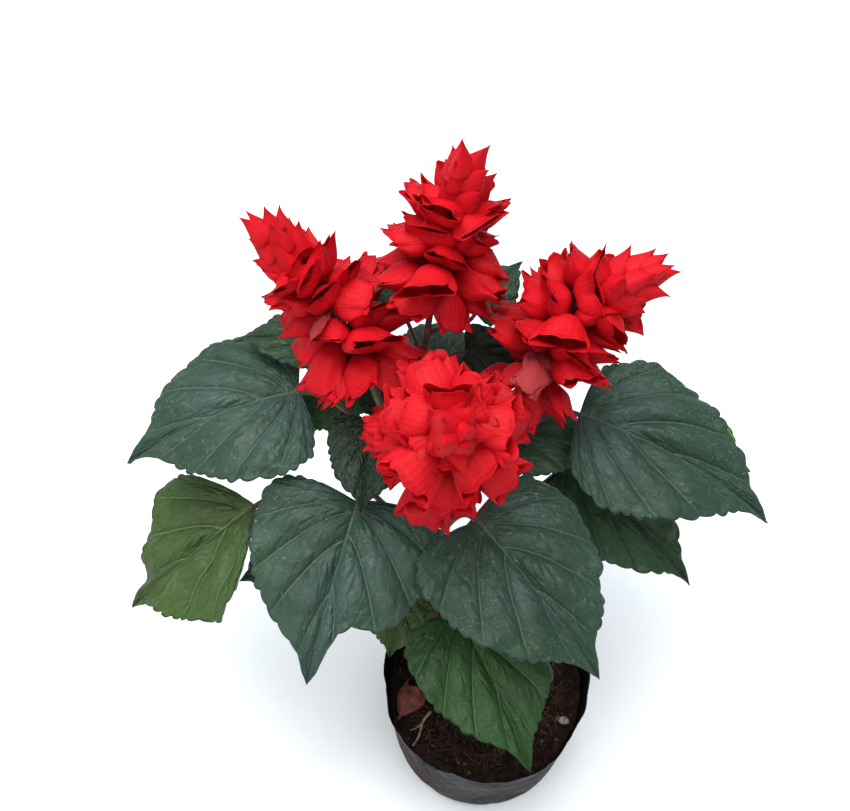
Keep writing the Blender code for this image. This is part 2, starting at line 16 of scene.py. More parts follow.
import bpy
import numpy as np
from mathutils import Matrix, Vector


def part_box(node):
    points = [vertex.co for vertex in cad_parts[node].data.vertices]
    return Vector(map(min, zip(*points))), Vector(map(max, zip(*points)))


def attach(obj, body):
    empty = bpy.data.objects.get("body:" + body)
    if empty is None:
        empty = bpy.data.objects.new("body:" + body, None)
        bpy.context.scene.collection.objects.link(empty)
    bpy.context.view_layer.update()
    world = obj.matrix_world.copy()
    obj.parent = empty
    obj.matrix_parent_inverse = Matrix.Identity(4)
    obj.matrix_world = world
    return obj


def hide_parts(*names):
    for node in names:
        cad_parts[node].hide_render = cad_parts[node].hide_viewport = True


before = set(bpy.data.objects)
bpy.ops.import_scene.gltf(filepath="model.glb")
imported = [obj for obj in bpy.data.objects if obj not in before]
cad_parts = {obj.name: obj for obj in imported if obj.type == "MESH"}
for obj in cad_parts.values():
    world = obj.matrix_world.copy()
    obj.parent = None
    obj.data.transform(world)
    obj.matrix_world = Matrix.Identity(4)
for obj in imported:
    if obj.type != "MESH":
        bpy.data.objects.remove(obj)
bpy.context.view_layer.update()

log = logging.getLogger("scarlet_sage")

MM = 0.001
TURN = 2 * pi
BODY = "root"
CHART = "surface"  # the name of each piece's UV map

Array = np.ndarray
Color = tuple[float, float, float]
Place = tuple[float, float, float]
Random = np.random.Generator
Socket = bpy.types.NodeSocket
Values = dict[str, Array | float]

UP = np.array([0.0, 0.0, 1.0])


# ---------------------------------------------------------------- directions and paths


def unit(vectors: Array) -> Array:
    """The vectors at unit length: each divided by its own length."""
    return vectors / np.linalg.norm(vectors, axis=-1, keepdims=True)


def square_to(vectors: Array, tangents: Array) -> Array:
    """The vectors less their part along the tangents, at unit length."""
    return unit(vectors - np.sum(vectors * tangents, axis=-1, keepdims=True) * tangents)


def across_frame(direction: Array) -> tuple[Array, Array]:
    """Two unit directions square to the given one and to each other, as the CAD solids take them.

    Args:
        direction: The given direction.

    Returns:
        The two.
    """
    helper = np.array([0.0, 1.0, 0.0] if abs(direction[0]) > 0.9 else [1.0, 0.0, 0.0])
    first = square_to(helper, direction)
    return first, np.cross(direction, first)


def at(places: Array, along: Array, curve: Array) -> Array:
    """The curve's points at distances along it, worked out one coordinate at a time."""
    return np.stack([np.interp(places, along, curve[:, i]) for i in range(curve.shape[1])], axis=-1)


def smooth_path(points: Array, steps_between: int) -> Array:
    """A Catmull-Rom curve through the points, from the first to the last.

    Args:
        points: The points, one to a row.
        steps_between: How many curve points each gap gets.

    Returns:
        The curve's points.
    """
    ends = 2 * points[[0, -1]] - points[[1, -2]]
    padded = np.vstack([ends[:1], points, ends[1:]])
    t = np.linspace(0, 1, steps_between, endpoint=False)[:, None, None]
    a, b, c, d = (padded[i : len(padded) - 3 + i][None] for i in range(4))
    second, third = a - 2.5 * b + 2 * c - 0.5 * d, 1.5 * (b - c) + 0.5 * (d - a)
    pieces = b + 0.5 * t * (c - a) + t**2 * second + t**3 * third
    return np.vstack([pieces.transpose(1, 0, 2).reshape(-1, points.shape[1]), points[-1:]])


def hermite(start: Array, start_slope: Array, end: Array, end_slope: Array, count: int) -> Array:
    """The cubic that leaves start and reaches end with the given slopes.

    Args:
        start: The first point.
        start_slope: The slope there, over a parameter that runs from 0 to 1.
        end: The last point.
        end_slope: The slope there.
        count: How many points to work out.

    Returns:
        The cubic's points.
    """
    t = np.linspace(0, 1, count)[:, None]
    rise, leaving, arriving = 3 * t**2 - 2 * t**3, t**3 - 2 * t**2 + t, t**3 - t**2
    return (1 - rise) * start + leaving * start_slope + rise * end + arriving * end_slope


def path_shares(path: Array) -> Array:
    """How far along the path each of its points is, from 0 to 1."""
    travelled = np.concatenate([[0], np.cumsum(np.linalg.norm(np.diff(path, axis=0), axis=1))])
    return travelled / travelled[-1]


def step_up(values: Array, low: float, high: float) -> Array:
    """0 under low, 1 over high, and an S-shaped rise (3t^2 - 2t^3) between them."""
    t = np.clip((values - low) / (high - low), 0, 1)
    return t * t * (3 - 2 * t)


# ---------------------------------------------------------------- closed skins


@dataclass
class Skin:
    """A closed surface of quads and triangles, with UVs at face corners and values at points."""

    points: Array
    quads: Array
    tris: Array
    quad_uv: Array
    tri_uv: Array
    values: dict[str, Array]

    def outward(self) -> Skin:
        """Turns the faces outwards, so that the sum of a.(b x c) over the triangles is positive.

        Returns:
            The skin itself.
        """
        triangles = np.vstack([self.quads[:, [0, 1, 2]], self.quads[:, [0, 2, 3]], self.tris])
        corners = self.points[triangles] - self.points.mean(axis=0)
        if np.einsum("ij,ij->", corners[:, 0], np.cross(corners[:, 1], corners[:, 2])) < 0:
            self.quads, self.quad_uv = self.quads[:, ::-1], self.quad_uv[:, ::-1]
            self.tris, self.tri_uv = self.tris[:, ::-1], self.tri_uv[:, ::-1]
        return self


def lofted(rings: Array, values: Values, uv: Array | None = None) -> Skin:
    """A closed skin over rings: point (i, j) is a function of the ring i and the place j round it.

    Each ring joins the next one, and the first and the last are closed by a fan to their middles.

    Args:
        rings: Points by ring and by place round it.
        values: Named numbers: one for all points, one for each ring, or one for each ring point.
        uv: UVs by ring and place, with one more place than the rings have, where each closes.

    Returns:
        The skin, facing outwards.
    """
    count, sides = rings.shape[:2]
    if uv is None:
        shares = np.linspace(0, 1, count), np.linspace(0, 1, sides + 1)
        uv = np.stack(np.meshgrid(*shares, indexing="ij")[::-1], axis=-1)
    points = np.vstack([rings.reshape(-1, 3), rings[0].mean(axis=0), rings[-1].mean(axis=0)])
    i, j = np.meshgrid(np.arange(count - 1), np.arange(sides), indexing="ij")
    k = (j + 1) % sides
    here, next_ring = i * sides, (i + 1) * sides
    quads = np.stack([here + j, here + k, next_ring + k, next_ring + j], axis=-1)
    quad_uv = np.stack([uv[i, j], uv[i, j + 1], uv[i + 1, j + 1], uv[i + 1, j]], axis=2)
    ring = np.arange(sides)
    after = (ring + 1) % sides
    middle, last = np.full(sides, count * sides), (count - 1) * sides
    fans = [middle, after, ring], [middle + 1, last + ring, last + after]
    tris = np.vstack([np.stack(fan, axis=1) for fan in fans])
    middles = uv[[0, -1]].mean(axis=1)[:, None].repeat(sides, axis=1)
    fans = [middles[0], uv[0, 1:], uv[0, :-1]], [middles[1], uv[-1, :-1], uv[-1, 1:]]
    tri_uv = np.vstack([np.stack(fan, axis=1) for fan in fans])
    spread = {}
    for name, value in values.items():
        rows = value if np.ndim(value) == 2 else np.reshape(value, (-1, 1))
        full = np.broadcast_to(rows, (count, sides))
        spread[name] = np.concatenate([full.reshape(-1), [full[0].mean(), full[-1].mean()]])
    skin = Skin(points, quads.reshape(-1, 4), tris, quad_uv.reshape(-1, 4, 2), tri_uv, spread)
    return skin.outward()


def joined(skins: list[Skin]) -> Skin:
    """Several skins as one, each still closed by itself.

    Args:
        skins: The skins. All of them hold the same named values.

    Returns:
        The one skin.
    """
    offsets = np.cumsum([0] + [len(skin.points) for skin in skins[:-1]])
    return Skin(
        np.vstack([skin.points for skin in skins]),
        np.vstack([skin.quads + offset for skin, offset in zip(skins, offsets)]),
        np.vstack([skin.tris + offset for skin, offset in zip(skins, offsets)]),
        np.vstack([skin.quad_uv for skin in skins]),
        np.vstack([skin.tri_uv for skin in skins]),
        {name: np.concatenate([skin.values[name] for skin in skins]) for name in skins[0].values},
    )


def tube(
    path: Array, radii: Array, side: Array, sides: int, ridge: float, ridges: int, values: Values
) -> Skin:
    """A bar along a path, whose radius at angle a is the path's times 1 + ridge * cos(ridges * a).

    Args:
        path: The bar's axis.
        radii: Its radius at each point of the axis.
        side: A direction that angle 0 keeps as close to as the axis lets it.
        sides: Points round it.
        ridge: The ridges' height, as a share of the radius.
        ridges: How many ridges run along it.
        values: Named numbers: one for all points, or one for each point of the axis.

    Returns:
        The closed skin.
    """
    tangents = unit(np.gradient(path, axis=0))
    first = square_to(np.broadcast_to(side, tangents.shape), tangents)[:, None]
    second = np.cross(tangents, first[:, 0])[:, None]
    angles = np.linspace(0, TURN, sides, endpoint=False)
    reach = radii[:, None] * (1 + ridge * np.cos(ridges * angles))
    circle = np.cos(angles)[None, :, None] * first + np.sin(angles)[None, :, None] * second
    return lofted(path[:, None] + reach[..., None] * circle, values)


def add_piece(name: str, skin: Skin, material: bpy.types.Material, node: str) -> None:
    """Makes the skin a smooth-shaded object at the origin, riding on the body in its node's place.

    Args:
        name: The piece's name.
        skin: Its shape.
        material: Its finish.
        node: The CAD node that it stands for.
    """
    mesh = bpy.data.meshes.new(name)
    corners = np.concatenate([skin.quads.reshape(-1), skin.tris.reshape(-1)]).astype(np.int32)
    sizes = np.concatenate([np.full(len(skin.quads), 4), np.full(len(skin.tris), 3)])
    starts = np.concatenate([[0], np.cumsum(sizes[:-1])]).astype(np.int32)
    mesh.vertices.add(len(skin.points))
    mesh.vertices.foreach_set("co", skin.points.astype(np.float32).reshape(-1))
    mesh.loops.add(len(corners))
    mesh.loops.foreach_set("vertex_index", corners)
    mesh.polygons.add(len(sizes))
    mesh.polygons.foreach_set("loop_start", starts)
    mesh.update(calc_edges=True)
    uv = np.concatenate([skin.quad_uv.reshape(-1), skin.tri_uv.reshape(-1)]).astype(np.float32)
    mesh.uv_layers.new(name=CHART).uv.foreach_set("vector", uv)
    for key, value in skin.values.items():
        attribute = mesh.attributes.new(key, "FLOAT", "POINT")
        attribute.data.foreach_set("value", value.astype(np.float32))
    mesh.shade_smooth()
    mesh.materials.append(material)
    piece = bpy.data.objects.new(name, mesh)
    bpy.context.scene.collection.objects.link(piece)
    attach(piece, BODY)
    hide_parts(node)
    low, high = (np.array(corner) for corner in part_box(node))
    past = np.maximum(low - skin.points.min(axis=0), skin.points.max(axis=0) - high).max() / MM
    count = 2 * len(skin.quads) + len(skin.tris)
    log.info("%s: %d triangles, %.1f mm past its solid", name, count, past)


# ---------------------------------------------------------------- shader networks


class Shader:
    """A material under construction: short names for the nodes that the finishes share."""

    def __init__(self, name: str) -> None:
        """Starts an empty material.

        Args:
            name: The material's name.
        """
        self.material = bpy.data.materials.new(name)
        self.material.use_nodes = True
        self.tree = self.material.node_tree
        self.tree.nodes.clear()
        self.place = self.node("ShaderNodeTexCoord").outputs["Object"]

    def node(self, kind: str, inputs: dict | None = None, **settings: object) -> bpy.types.Node:
        """Adds a node, sets its properties, and links or sets its inputs.

        Args:
            kind: The node's type.
            inputs: The socket to link or the value to set, by the input's name or number.
            **settings: The node's properties.

        Returns:
            The node.
        """
        made = self.tree.nodes.new(kind)
        for key, value in settings.items():
            setattr(made, key, value)
        for key, value in (inputs or {}).items():
            socket = made.inputs[key]
            if isinstance(value, bpy.types.NodeSocket):
                self.tree.links.new(value, socket)
            else:
                socket.default_value = (*value, 1.0) if socket.type == "RGBA" else value
        return made

    def math(self, operation: str, *values: Socket | float, clamp: bool = False) -> Socket:
        """One Math node over one, two or three values."""
        inputs = dict(enumerate(values))
        return self.node("ShaderNodeMath", inputs, operation=operation, use_clamp=clamp).outputs[0]

    def times(self, *values: Socket | float) -> Socket:
        """The product of the values."""
        return reduce(lambda product, value: self.math("MULTIPLY", product, value), values)

    def value(self, name: str) -> Socket:
        """The piece's own named value."""
        return self.node("ShaderNodeAttribute", attribute_name=name).outputs["Fac"]

    def uv(self) -> tuple[Socket, Socket]:
        """The piece's own U and V."""
        chart = self.node("ShaderNodeUVMap", uv_map=CHART).outputs[0]
        return tuple(self.node("ShaderNodeSeparateXYZ", {0: chart}).outputs[:2])

    def stretched(self, scale: tuple[float, float, float]) -> Socket:
        """The piece's place with each axis scaled, to stretch a pattern along one of them."""
        return self.node("ShaderNodeMapping", {"Vector": self.place, "Scale": scale}).outputs[0]

    def warped(self, scale: float, reach: float) -> Socket:
        """The piece's place, pushed about by soft noise of up to half the reach each way.

        Args:
            scale: The noise's lumps to a metre.
            reach: The noise's full reach in metres.

        Returns:
            The pushed place.
        """
        wave = {"Vector": self.place, "Scale": scale, "Detail": 1.0}
        noise = self.node("ShaderNodeTexNoise", wave).outputs["Color"]
        middle = {0: noise, 1: (0.5, 0.5, 0.5)}
        centred = self.node("ShaderNodeVectorMath", middle, operation="SUBTRACT").outputs[0]
        wide = {0: centred, "Scale": reach}
        push = self.node("ShaderNodeVectorMath", wide, operation="SCALE").outputs[0]
        return self.node("ShaderNodeVectorMath", {0: self.place, 1: push}).outputs[0]

    def noise(
        self, scale: float, detail: float = 3.0, place: Socket | None = None, bend: float = 0.0
    ) -> Socket:
        """Soft noise from 0 to 1, of that many lumps to a metre."""
        inputs = {"Vector": place or self.place, "Scale": scale, "Detail": detail}
        return self.node("ShaderNodeTexNoise", {**inputs, "Distortion": bend}).outputs["Fac"]

    def cells(self, scale: float, feature: str = "F1", place: Socket | None = None) -> Socket:
        """Distance within random cells, to their points or, for DISTANCE_TO_EDGE, their walls."""
        inputs = {"Vector": place or self.place, "Scale": scale}
        return self.node("ShaderNodeTexVoronoi", inputs, feature=feature).outputs["Distance"]

    def ramp(
        self, value: Socket, low: float, high: float, start: float = 0.0, end: float = 1.0
    ) -> Socket:
        """A smooth change from start, where the value is under low, to end, where it is over high.

        Args:
            value: The value that it reads.
            low: Where the change begins.
            high: Where it ends.
            start: What it gives under low.
            end: What it gives over high.

        Returns:
            The changed value.
        """
        inputs = {"Value": value, "From Min": low, "From Max": high, "To Min": start, "To Max": end}
        mapped = self.node("ShaderNodeMapRange", inputs, interpolation_type="SMOOTHSTEP")
        return mapped.outputs["Result"]

    def mix(self, share: Socket | float, first: Socket | Color, second: Socket | Color) -> Socket:
        """The first colour, and the second where share is 1."""
        inputs = {0: share, 6: first, 7: second}
        return self.node("ShaderNodeMix", inputs, data_type="RGBA", clamp_factor=True).outputs[2]

    def bump(self, height: Socket, depth: float, strength: float) -> Socket:
        """A normal for a height field whose full step is depth millimetres."""
        inputs = {"Height": height, "Distance": depth * MM, "Strength": strength}
        return self.node("ShaderNodeBump", inputs).outputs["Normal"]

    def finish(
        self, color: Socket, roughness: Socket | float, normal: Socket | None = None,
        more: dict | None = None, glow: Socket | None = None, through: float = 0.0,
    ) -> bpy.types.Material:
        """Joins a surface, with a share of light let through from behind, to the material's output.

        Args:
            color: The surface's colour.
            roughness: Its roughness.
            normal: Its bumped normal.
            more: Other inputs of the Principled node.
            glow: The colour of the light that comes through.
            through: The share of the light that comes through.

        Returns:
            The material.
        """
        bumped = {} if normal is None else {"Normal": normal}
        inputs = {"Base Color": color, "Roughness": roughness, **bumped, **(more or {})}
        shown = self.node("ShaderNodeBsdfPrincipled", inputs).outputs[0]
        if glow is not None:
            lit = self.node("ShaderNodeBsdfTranslucent", {"Color": glow, **bumped}).outputs[0]
            shown = self.node("ShaderNodeMixShader", {0: through, 1: shown, 2: lit}).outputs[0]
        self.node("ShaderNodeOutputMaterial", {"Surface": shown})
        return self.material


# ---------------------------------------------------------------- finishes


def vein_map(s: Shader) -> tuple[Socket, Socket, Socket, Socket]:
    """Where the veins and the net between them run.

    U runs from the blade's base to its tip, one side vein every VEIN_PITCH, and V across it. A side
    vein is where U's distance to the nearest vein row is small, a branch is where a slanting
    sawtooth of both is near its middle, and the net is cell walls in the same chart.

    Args:
        s: The material under construction.

    Returns:
        The share of the half width, the distances to a side vein and to the net, and the veins.
    """
    row, across = s.uv()
    reach = s.math("ABSOLUTE", s.math("MULTIPLY_ADD", across, 2.0, -1.0))
    left = s.math("GREATER_THAN", across, 0.5)
    phase = s.math("DIVIDE", s.math("SUBTRACT", row, FIRST_VEIN), VEIN_PITCH)
    phase = s.math("MULTIPLY_ADD", left, 0.5 * VEIN_STAGGER, phase)
    off_vein = s.math("ABSOLUTE", s.math("SUBTRACT", phase, s.math("ROUND", phase)))
    side_vein = s.times(s.ramp(off_vein, 0.012, 0.05, 1, 0), s.ramp(reach, 0.8, 1.0, 1, 0.25))
    midrib = s.ramp(s.times(reach, s.ramp(row, 0.3, 1.0, 1.0, 0.45)), 0.008, 0.03, 1, 0)
    ahead = s.math("SUBTRACT", phase, s.math("FLOOR", phase))
    branch = s.math("FRACT", s.math("SUBTRACT", s.times(reach, 4.3), s.times(ahead, 1.5)))
    branch = s.ramp(s.math("ABSOLUTE", s.math("SUBTRACT", branch, 0.5)), 0.0, 0.05, 1, 0)
    branch = s.times(branch, s.ramp(reach, 0.25, 0.5))
    blade = s.math("SUBTRACT", 1.0, s.value("stalk"), clamp=True)
    main = s.math("MAXIMUM", side_vein, midrib)
    veins = s.times(s.math("MAXIMUM", main, s.times(branch, 0.4)), blade)
    chart = {0: s.times(phase, 2.6), 1: s.times(reach, 6.5), 2: 0.0}
    chart = s.node("ShaderNodeCombineXYZ", chart).outputs[0]
    return reach, off_vein, s.cells(1.0, "DISTANCE_TO_EDGE", chart), veins


@dataclass(frozen=True)
class LeafFinish:
    """A leaf's colours, from its dark face to its pale veins and its red-brown stalk."""

    face: Color
    patch: Color
    vein: Color = (0.060, 0.115, 0.062)
    under: Color = (0.10, 0.16, 0.08)
    stalk: Color = (0.17, 0.055, 0.040)
    # painted sheen: a bluish grey that stands in for sky light reflected off the face
    painted_sheen: Color = (0.046, 0.084, 0.072)
    water: Color = (0.32, 0.40, 0.37)
    lit: Color = (0.10, 0.20, 0.03)
    sheen: Color = (0.56, 0.74, 0.92)
    roughness: float = 0.50
    # the shader's own sheen, and also the strength of the painted sheen in the colour
    sheen_weight: float = 0.0
    specks: float = 0.16
    through: float = 0.12

    def shade_and_mottle(self) -> Color:
        """The tissue's darkest tone: painted shade near veins and in the net's grooves, and mottle.
        """
        return tuple(0.5 * c for c in self.face)

    def margin(self) -> Color:
        """The greener tone towards the margin."""
        return self.face[0] * 0.9, self.face[1] * 1.15, self.face[2] * 0.6

    def tissue(self, s: Shader, reach: Socket, off_vein: Socket, to_net: Socket) -> Socket:
        """The green between the veins: patches, greener margin, painted sheen, painted shade in
        grooves.

        Args:
            s: The material under construction.
            reach: The share of the half width.
            off_vein: The distance to a side vein.
            to_net: The distance to the net.

        Returns:
            The colour.
        """
        color = s.mix(s.ramp(s.noise(38.0, 4.0), 0.35, 0.7), self.face, self.patch)
        color = s.mix(s.ramp(reach, 0.5, 0.95, 0.0, 0.5), color, self.margin())
        # painted sheen: soft bluish-grey patches towards the blade's middle stand in for reflected
        # sky light
        blotches = s.ramp(s.noise(24.0, 2.0), 0.40, 0.62)
        painted_sheen = s.times(blotches, s.ramp(reach, 0.45, 0.92, 1, 0.1), 4 * self.sheen_weight)
        color = s.mix(painted_sheen, color, self.painted_sheen)
        # painted shade: the tissue darkens along the grooves of the net
        color = s.mix(s.times(s.ramp(to_net, 0.0, 0.09, 1, 0), 0.3), color, self.shade_and_mottle())
        mottle = s.times(s.ramp(s.noise(420.0, 2.0), 0.5, 0.8), 0.3)
        color = s.mix(mottle, color, self.shade_and_mottle())
        color = s.mix(s.ramp(reach, 0.95, 1.0, 0.0, 0.3), color, self.patch)
        # painted shade: a band of darker tissue next to each side vein, fading at the midrib and
        # the margin
        painted_vein_shade = s.ramp(off_vein, 0.03, 0.15, 0.5, 0.0)
        painted_vein_shade = s.times(painted_vein_shade, s.ramp(reach, 0.05, 0.15), s.ramp(reach, 0.85, 1.0, 1, 0))
        return s.mix(painted_vein_shade, color, self.shade_and_mottle())

    def wetness(self, s: Shader) -> Socket:
        """Dried water specks and small drops, each in places picked by a broader noise.

        Args:
            s: The material under construction.

        Returns:
            How much of them covers the blade.
        """
        specks = s.ramp(s.noise(1150.0, 1.0), 0.64, 0.72)
        specks = s.times(specks, s.ramp(s.noise(45.0, 1.0), 0.38, 0.58))
        drops = s.ramp(s.cells(260.0, place=s.warped(1500.0, 1.6 * MM)), 0.06, 0.14, 1, 0)
        drops = s.times(drops, s.ramp(s.noise(60.0, 1.0), 0.44, 0.54))
        return s.times(s.math("MAXIMUM", specks, drops), self.specks)

    def material(self, name: str) -> bpy.types.Material:
        """A satin face with veins and water specks, a paler underside, and puffs between the veins.

        Args:
            name: The material's name.

        Returns:
            The material.
        """
        s = Shader(name)
        reach, off_vein, to_net, veins = vein_map(s)
        color = self.tissue(s, reach, off_vein, to_net)
        color = s.mix(s.times(veins, 0.62), color, self.vein)
        color = s.mix(self.wetness(s), color, self.water)
        color = s.mix(s.value("under"), color, s.mix(s.times(veins, 0.5), self.under, self.vein))
        red = s.times(s.value("stalk"), s.ramp(s.noise(60.0, 2.0), 0.2, 0.9, 1.0, 0.55))
        color = s.mix(red, color, self.stalk)
        puffs = s.math("MULTIPLY_ADD", s.noise(560.0, 3.0), 1.3, s.ramp(to_net, 0.0, 0.4, 0.0, 1.7))
        grooves = s.math("MULTIPLY_ADD", s.noise(230.0, 2.0), 0.6, s.times(veins, -0.9))
        smooth, dull = self.roughness - 0.03, self.roughness + 0.08
        return s.finish(
            color, s.ramp(s.noise(90.0, 3.0), 0.3, 0.7, smooth, dull),
            s.bump(s.math("ADD", puffs, grooves), 0.32, 0.85),
            {
                "Specular IOR Level": 0.38, "Sheen Weight": self.sheen_weight, "Sheen Roughness": 0.55,
                "Sheen Tint": self.sheen,
            },
            s.mix(0.5, color, self.lit), self.through,
        )


class Foliage(Enum):
    """The plant's leaf tones."""

    # GREY takes the most painted sheen; SHADED is painted shade: a darker copy for the leaves deep
    # inside the plant
    GREY = LeafFinish((0.012, 0.036, 0.019), (0.021, 0.054, 0.027), sheen_weight=0.12, specks=0.25)
    DEEP = LeafFinish((0.012, 0.038, 0.012), (0.020, 0.060, 0.017), sheen_weight=0.03)
    FRESH = LeafFinish(
        (0.014, 0.050, 0.009), (0.024, 0.076, 0.013), vein=(0.075, 0.17, 0.055), roughness=0.52
    )
    OLIVE = LeafFinish((0.036, 0.070, 0.012), (0.054, 0.096, 0.019), vein=(0.13, 0.20, 0.08))
    YOUNG = LeafFinish((0.075, 0.155, 0.014), (0.11, 0.20, 0.020), vein=(0.18, 0.28, 0.08))
    SHADED = LeafFinish((0.008, 0.020, 0.009), (0.014, 0.032, 0.012), vein=(0.035, 0.065, 0.035))


@dataclass(frozen=True)
class CalyxFinish:
    """A calyx's papery scarlet, crimson at its foot and inside, with a maroon stalk."""

    mouth: Color = (0.64, 0.004, 0.012)
    foot: Color = (0.48, 0.002, 0.008)
    vein: Color = (0.34, 0.001, 0.005)
    inside: Color = (0.42, 0.002, 0.008)
    stalk: Color = (0.11, 0.008, 0.010)
    faded: Color = (0.40, 0.040, 0.045)
    dead: Color = (0.15, 0.010, 0.014)
    lit: Color = (0.95, 0.012, 0.02)
    ribs: int = 26
    through: float = 0.30

    def material(self, name: str) -> bpy.types.Material:
        """Fine lengthwise ribs from the chart's U, soft wrinkles, and light through the thin wall.

        Args:
            name: The material's name.

        Returns:
            The material.
        """
        s = Shader(name)
        around, _ = s.uv()
        swayed = s.math("ADD", around, s.times(s.noise(140.0, 1.0), 0.02))
        ribs = s.math("COSINE", s.times(swayed, TURN * self.ribs))
        wrinkles = s.noise(190.0, 4.0, bend=0.6)
        color = s.mix(s.ramp(s.value("along"), 0.05, 0.75), self.foot, self.mouth)
        color = s.mix(s.times(s.ramp(ribs, 0.2, 1.0), 0.14), color, self.vein)
        color = s.mix(s.ramp(wrinkles, 0.50, 0.78, 0.0, 0.45), color, self.vein)
        color = s.mix(s.times(s.value("tint"), 0.5), color, self.foot)
        color = s.mix(s.times(s.value("inside"), 0.7), color, self.inside)
        withered = s.mix(s.ramp(s.noise(110.0, 3.0, bend=0.6), 0.48, 0.66), self.faded, self.dead)
        color = s.mix(s.value("withered"), color, withered)
        color = s.mix(s.value("stalk"), color, self.stalk)
        normal = s.bump(s.math("MULTIPLY_ADD", wrinkles, 2.2, s.times(ribs, 0.2)), 0.22, 0.9)
        shine = {"Specular IOR Level": 0.2}
        return s.finish(color, 0.6, normal, shine, s.mix(0.6, color, self.lit), self.through)


@dataclass(frozen=True)
class DryFinish:
    """A dead petal or calyx: blotched browns or faded pinks on a crisp wrinkled surface."""

    light: Color
    dark: Color
    through: float = 0.05
    ribs: int = 14

    def material(self, name: str) -> bpy.types.Material:
        """Blotches of two colours, darker ribs along the chart, and a coarse crumpled relief.

        Args:
            name: The material's name.

        Returns:
            The material.
        """
        s = Shader(name)
        around, _ = s.uv()
        ribs = s.math("COSINE", s.times(around, TURN * self.ribs))
        blotch = s.noise(160.0, 5.0, bend=1.0)
        color = s.mix(s.ramp(blotch, 0.35, 0.68), self.light, self.dark)
        color = s.mix(s.times(s.ramp(ribs, 0.5, 1.0), 0.4), color, self.dark)
        normal = s.bump(s.math("ADD", s.times(ribs, 0.3), blotch), 0.35, 0.9)
        return s.finish(color, 0.75, normal, glow=color, through=self.through)


@dataclass(frozen=True)
class StemFinish:
    """Stem skin: brown and corky near the soil, green above, maroon where the flowers sit."""

    foot: Color = (0.085, 0.048, 0.026)
    green: Color = (0.075, 0.070, 0.024)
    flowering: Color = (0.115, 0.010, 0.014)
    cork: Color = (0.19, 0.12, 0.07)

    def material(self, name: str) -> bpy.types.Material:
        """Colour by the value "flowering" and by height, with lengthwise streaks stretched along Z.

        Args:
            name: The material's name.

        Returns:
            The material.
        """
        s = Shader(name)
        height = s.node("ShaderNodeSeparateXYZ", {0: s.place}).outputs[2]
        streaks = s.noise(900.0, 4.0, s.stretched((1.0, 1.0, 0.12)))
        color = s.mix(s.ramp(height, 0.07, 0.16), self.foot, self.green)
        color = s.mix(s.value("flowering"), color, self.flowering)
        cracks = tuple(0.4 * c for c in self.foot)
        color = s.mix(s.ramp(streaks, 0.45, 0.75, 0.0, 0.6), color, cracks)
        color = s.mix(s.ramp(s.noise(150.0, 3.0), 0.55, 0.75, 0.0, 0.5), color, self.cork)
        normal = s.bump(s.math("ADD", streaks, s.noise(300.0, 3.0)), 0.3, 0.8)
        return s.finish(color, 0.6, normal)


@dataclass(frozen=True)
class FilmFinish:
    """Black polythene film: half gloss, finely crumpled, dusty, with dried soil on one side."""

    film: Color = (0.003, 0.003, 0.004)
    dust: Color = (0.012, 0.011, 0.012)
    mud: Color = (0.085, 0.036, 0.028)
    mud_side: Place = (-0.040, -0.026, 0.026)

    def material(self, name: str) -> bpy.types.Material:
        """Dust where soft noise is high, mud near one low place, and a crumple of cell walls.

        Args:
            name: The material's name.

        Returns:
            The material.
        """
        s = Shader(name)
        creases = s.cells(95.0, "DISTANCE_TO_EDGE", s.stretched((1, 1, 0.45)))
        fine = s.noise(260.0, 5.0, bend=0.8)
        ends = {0: s.place, 1: self.mud_side}
        to_mud = s.node("ShaderNodeVectorMath", ends, operation="DISTANCE").outputs["Value"]
        near_mud = s.ramp(to_mud, 0.012, 0.034, 1, 0)
        mud = s.times(near_mud, s.ramp(s.noise(210.0, 6.0, bend=1.2), 0.47, 0.60))
        dusty = s.ramp(s.noise(33.0, 5.0, bend=0.5), 0.36, 0.72, 0.1, 0.85)
        color = s.mix(dusty, self.film, self.dust)
        color = s.mix(s.ramp(creases, 0.0, 0.05, 0.35, 0.0), color, self.dust)
        color = s.mix(s.times(mud, 0.85), color, self.mud)
        rough = s.ramp(s.noise(48.0, 4.0), 0.3, 0.7, 0.44, 0.62)
        rough = s.math("ADD", rough, s.times(mud, 0.35), clamp=True)
        relief = s.math("ADD", s.ramp(creases, 0.0, 0.16, 0.0, 1.0), s.times(fine, 0.5))
        return s.finish(color, rough, s.bump(relief, 0.5, 0.85), {"Specular IOR Level": 0.07})


@dataclass(frozen=True)
class PeatFinish:
    """Damp coco peat: near-black crumbs with brown and straw-coloured fibres."""

    damp: Color = (0.009, 0.005, 0.0045)
    dry: Color = (0.024, 0.013, 0.010)
    fibre: Color = (0.17, 0.090, 0.050)

    def material(self, name: str) -> bpy.types.Material:
        """Noise between damp and dry, and the value "fibre" towards the fibre colour.

        Args:
            name: The material's name.

        Returns:
            The material.
        """
        s = Shader(name)
        color = s.mix(s.ramp(s.noise(240.0, 6.0), 0.38, 0.68), self.damp, self.dry)
        color = s.mix(s.ramp(s.noise(800.0, 3.0), 0.60, 0.75, 0.0, 0.5), color, self.fibre)
        color = s.mix(s.value("fibre"), color, self.fibre)
        normal = s.bump(s.noise(700.0, 6.0), 1.0, 0.9)
        return s.finish(color, 0.9, normal, {"Specular IOR Level": 0.12})


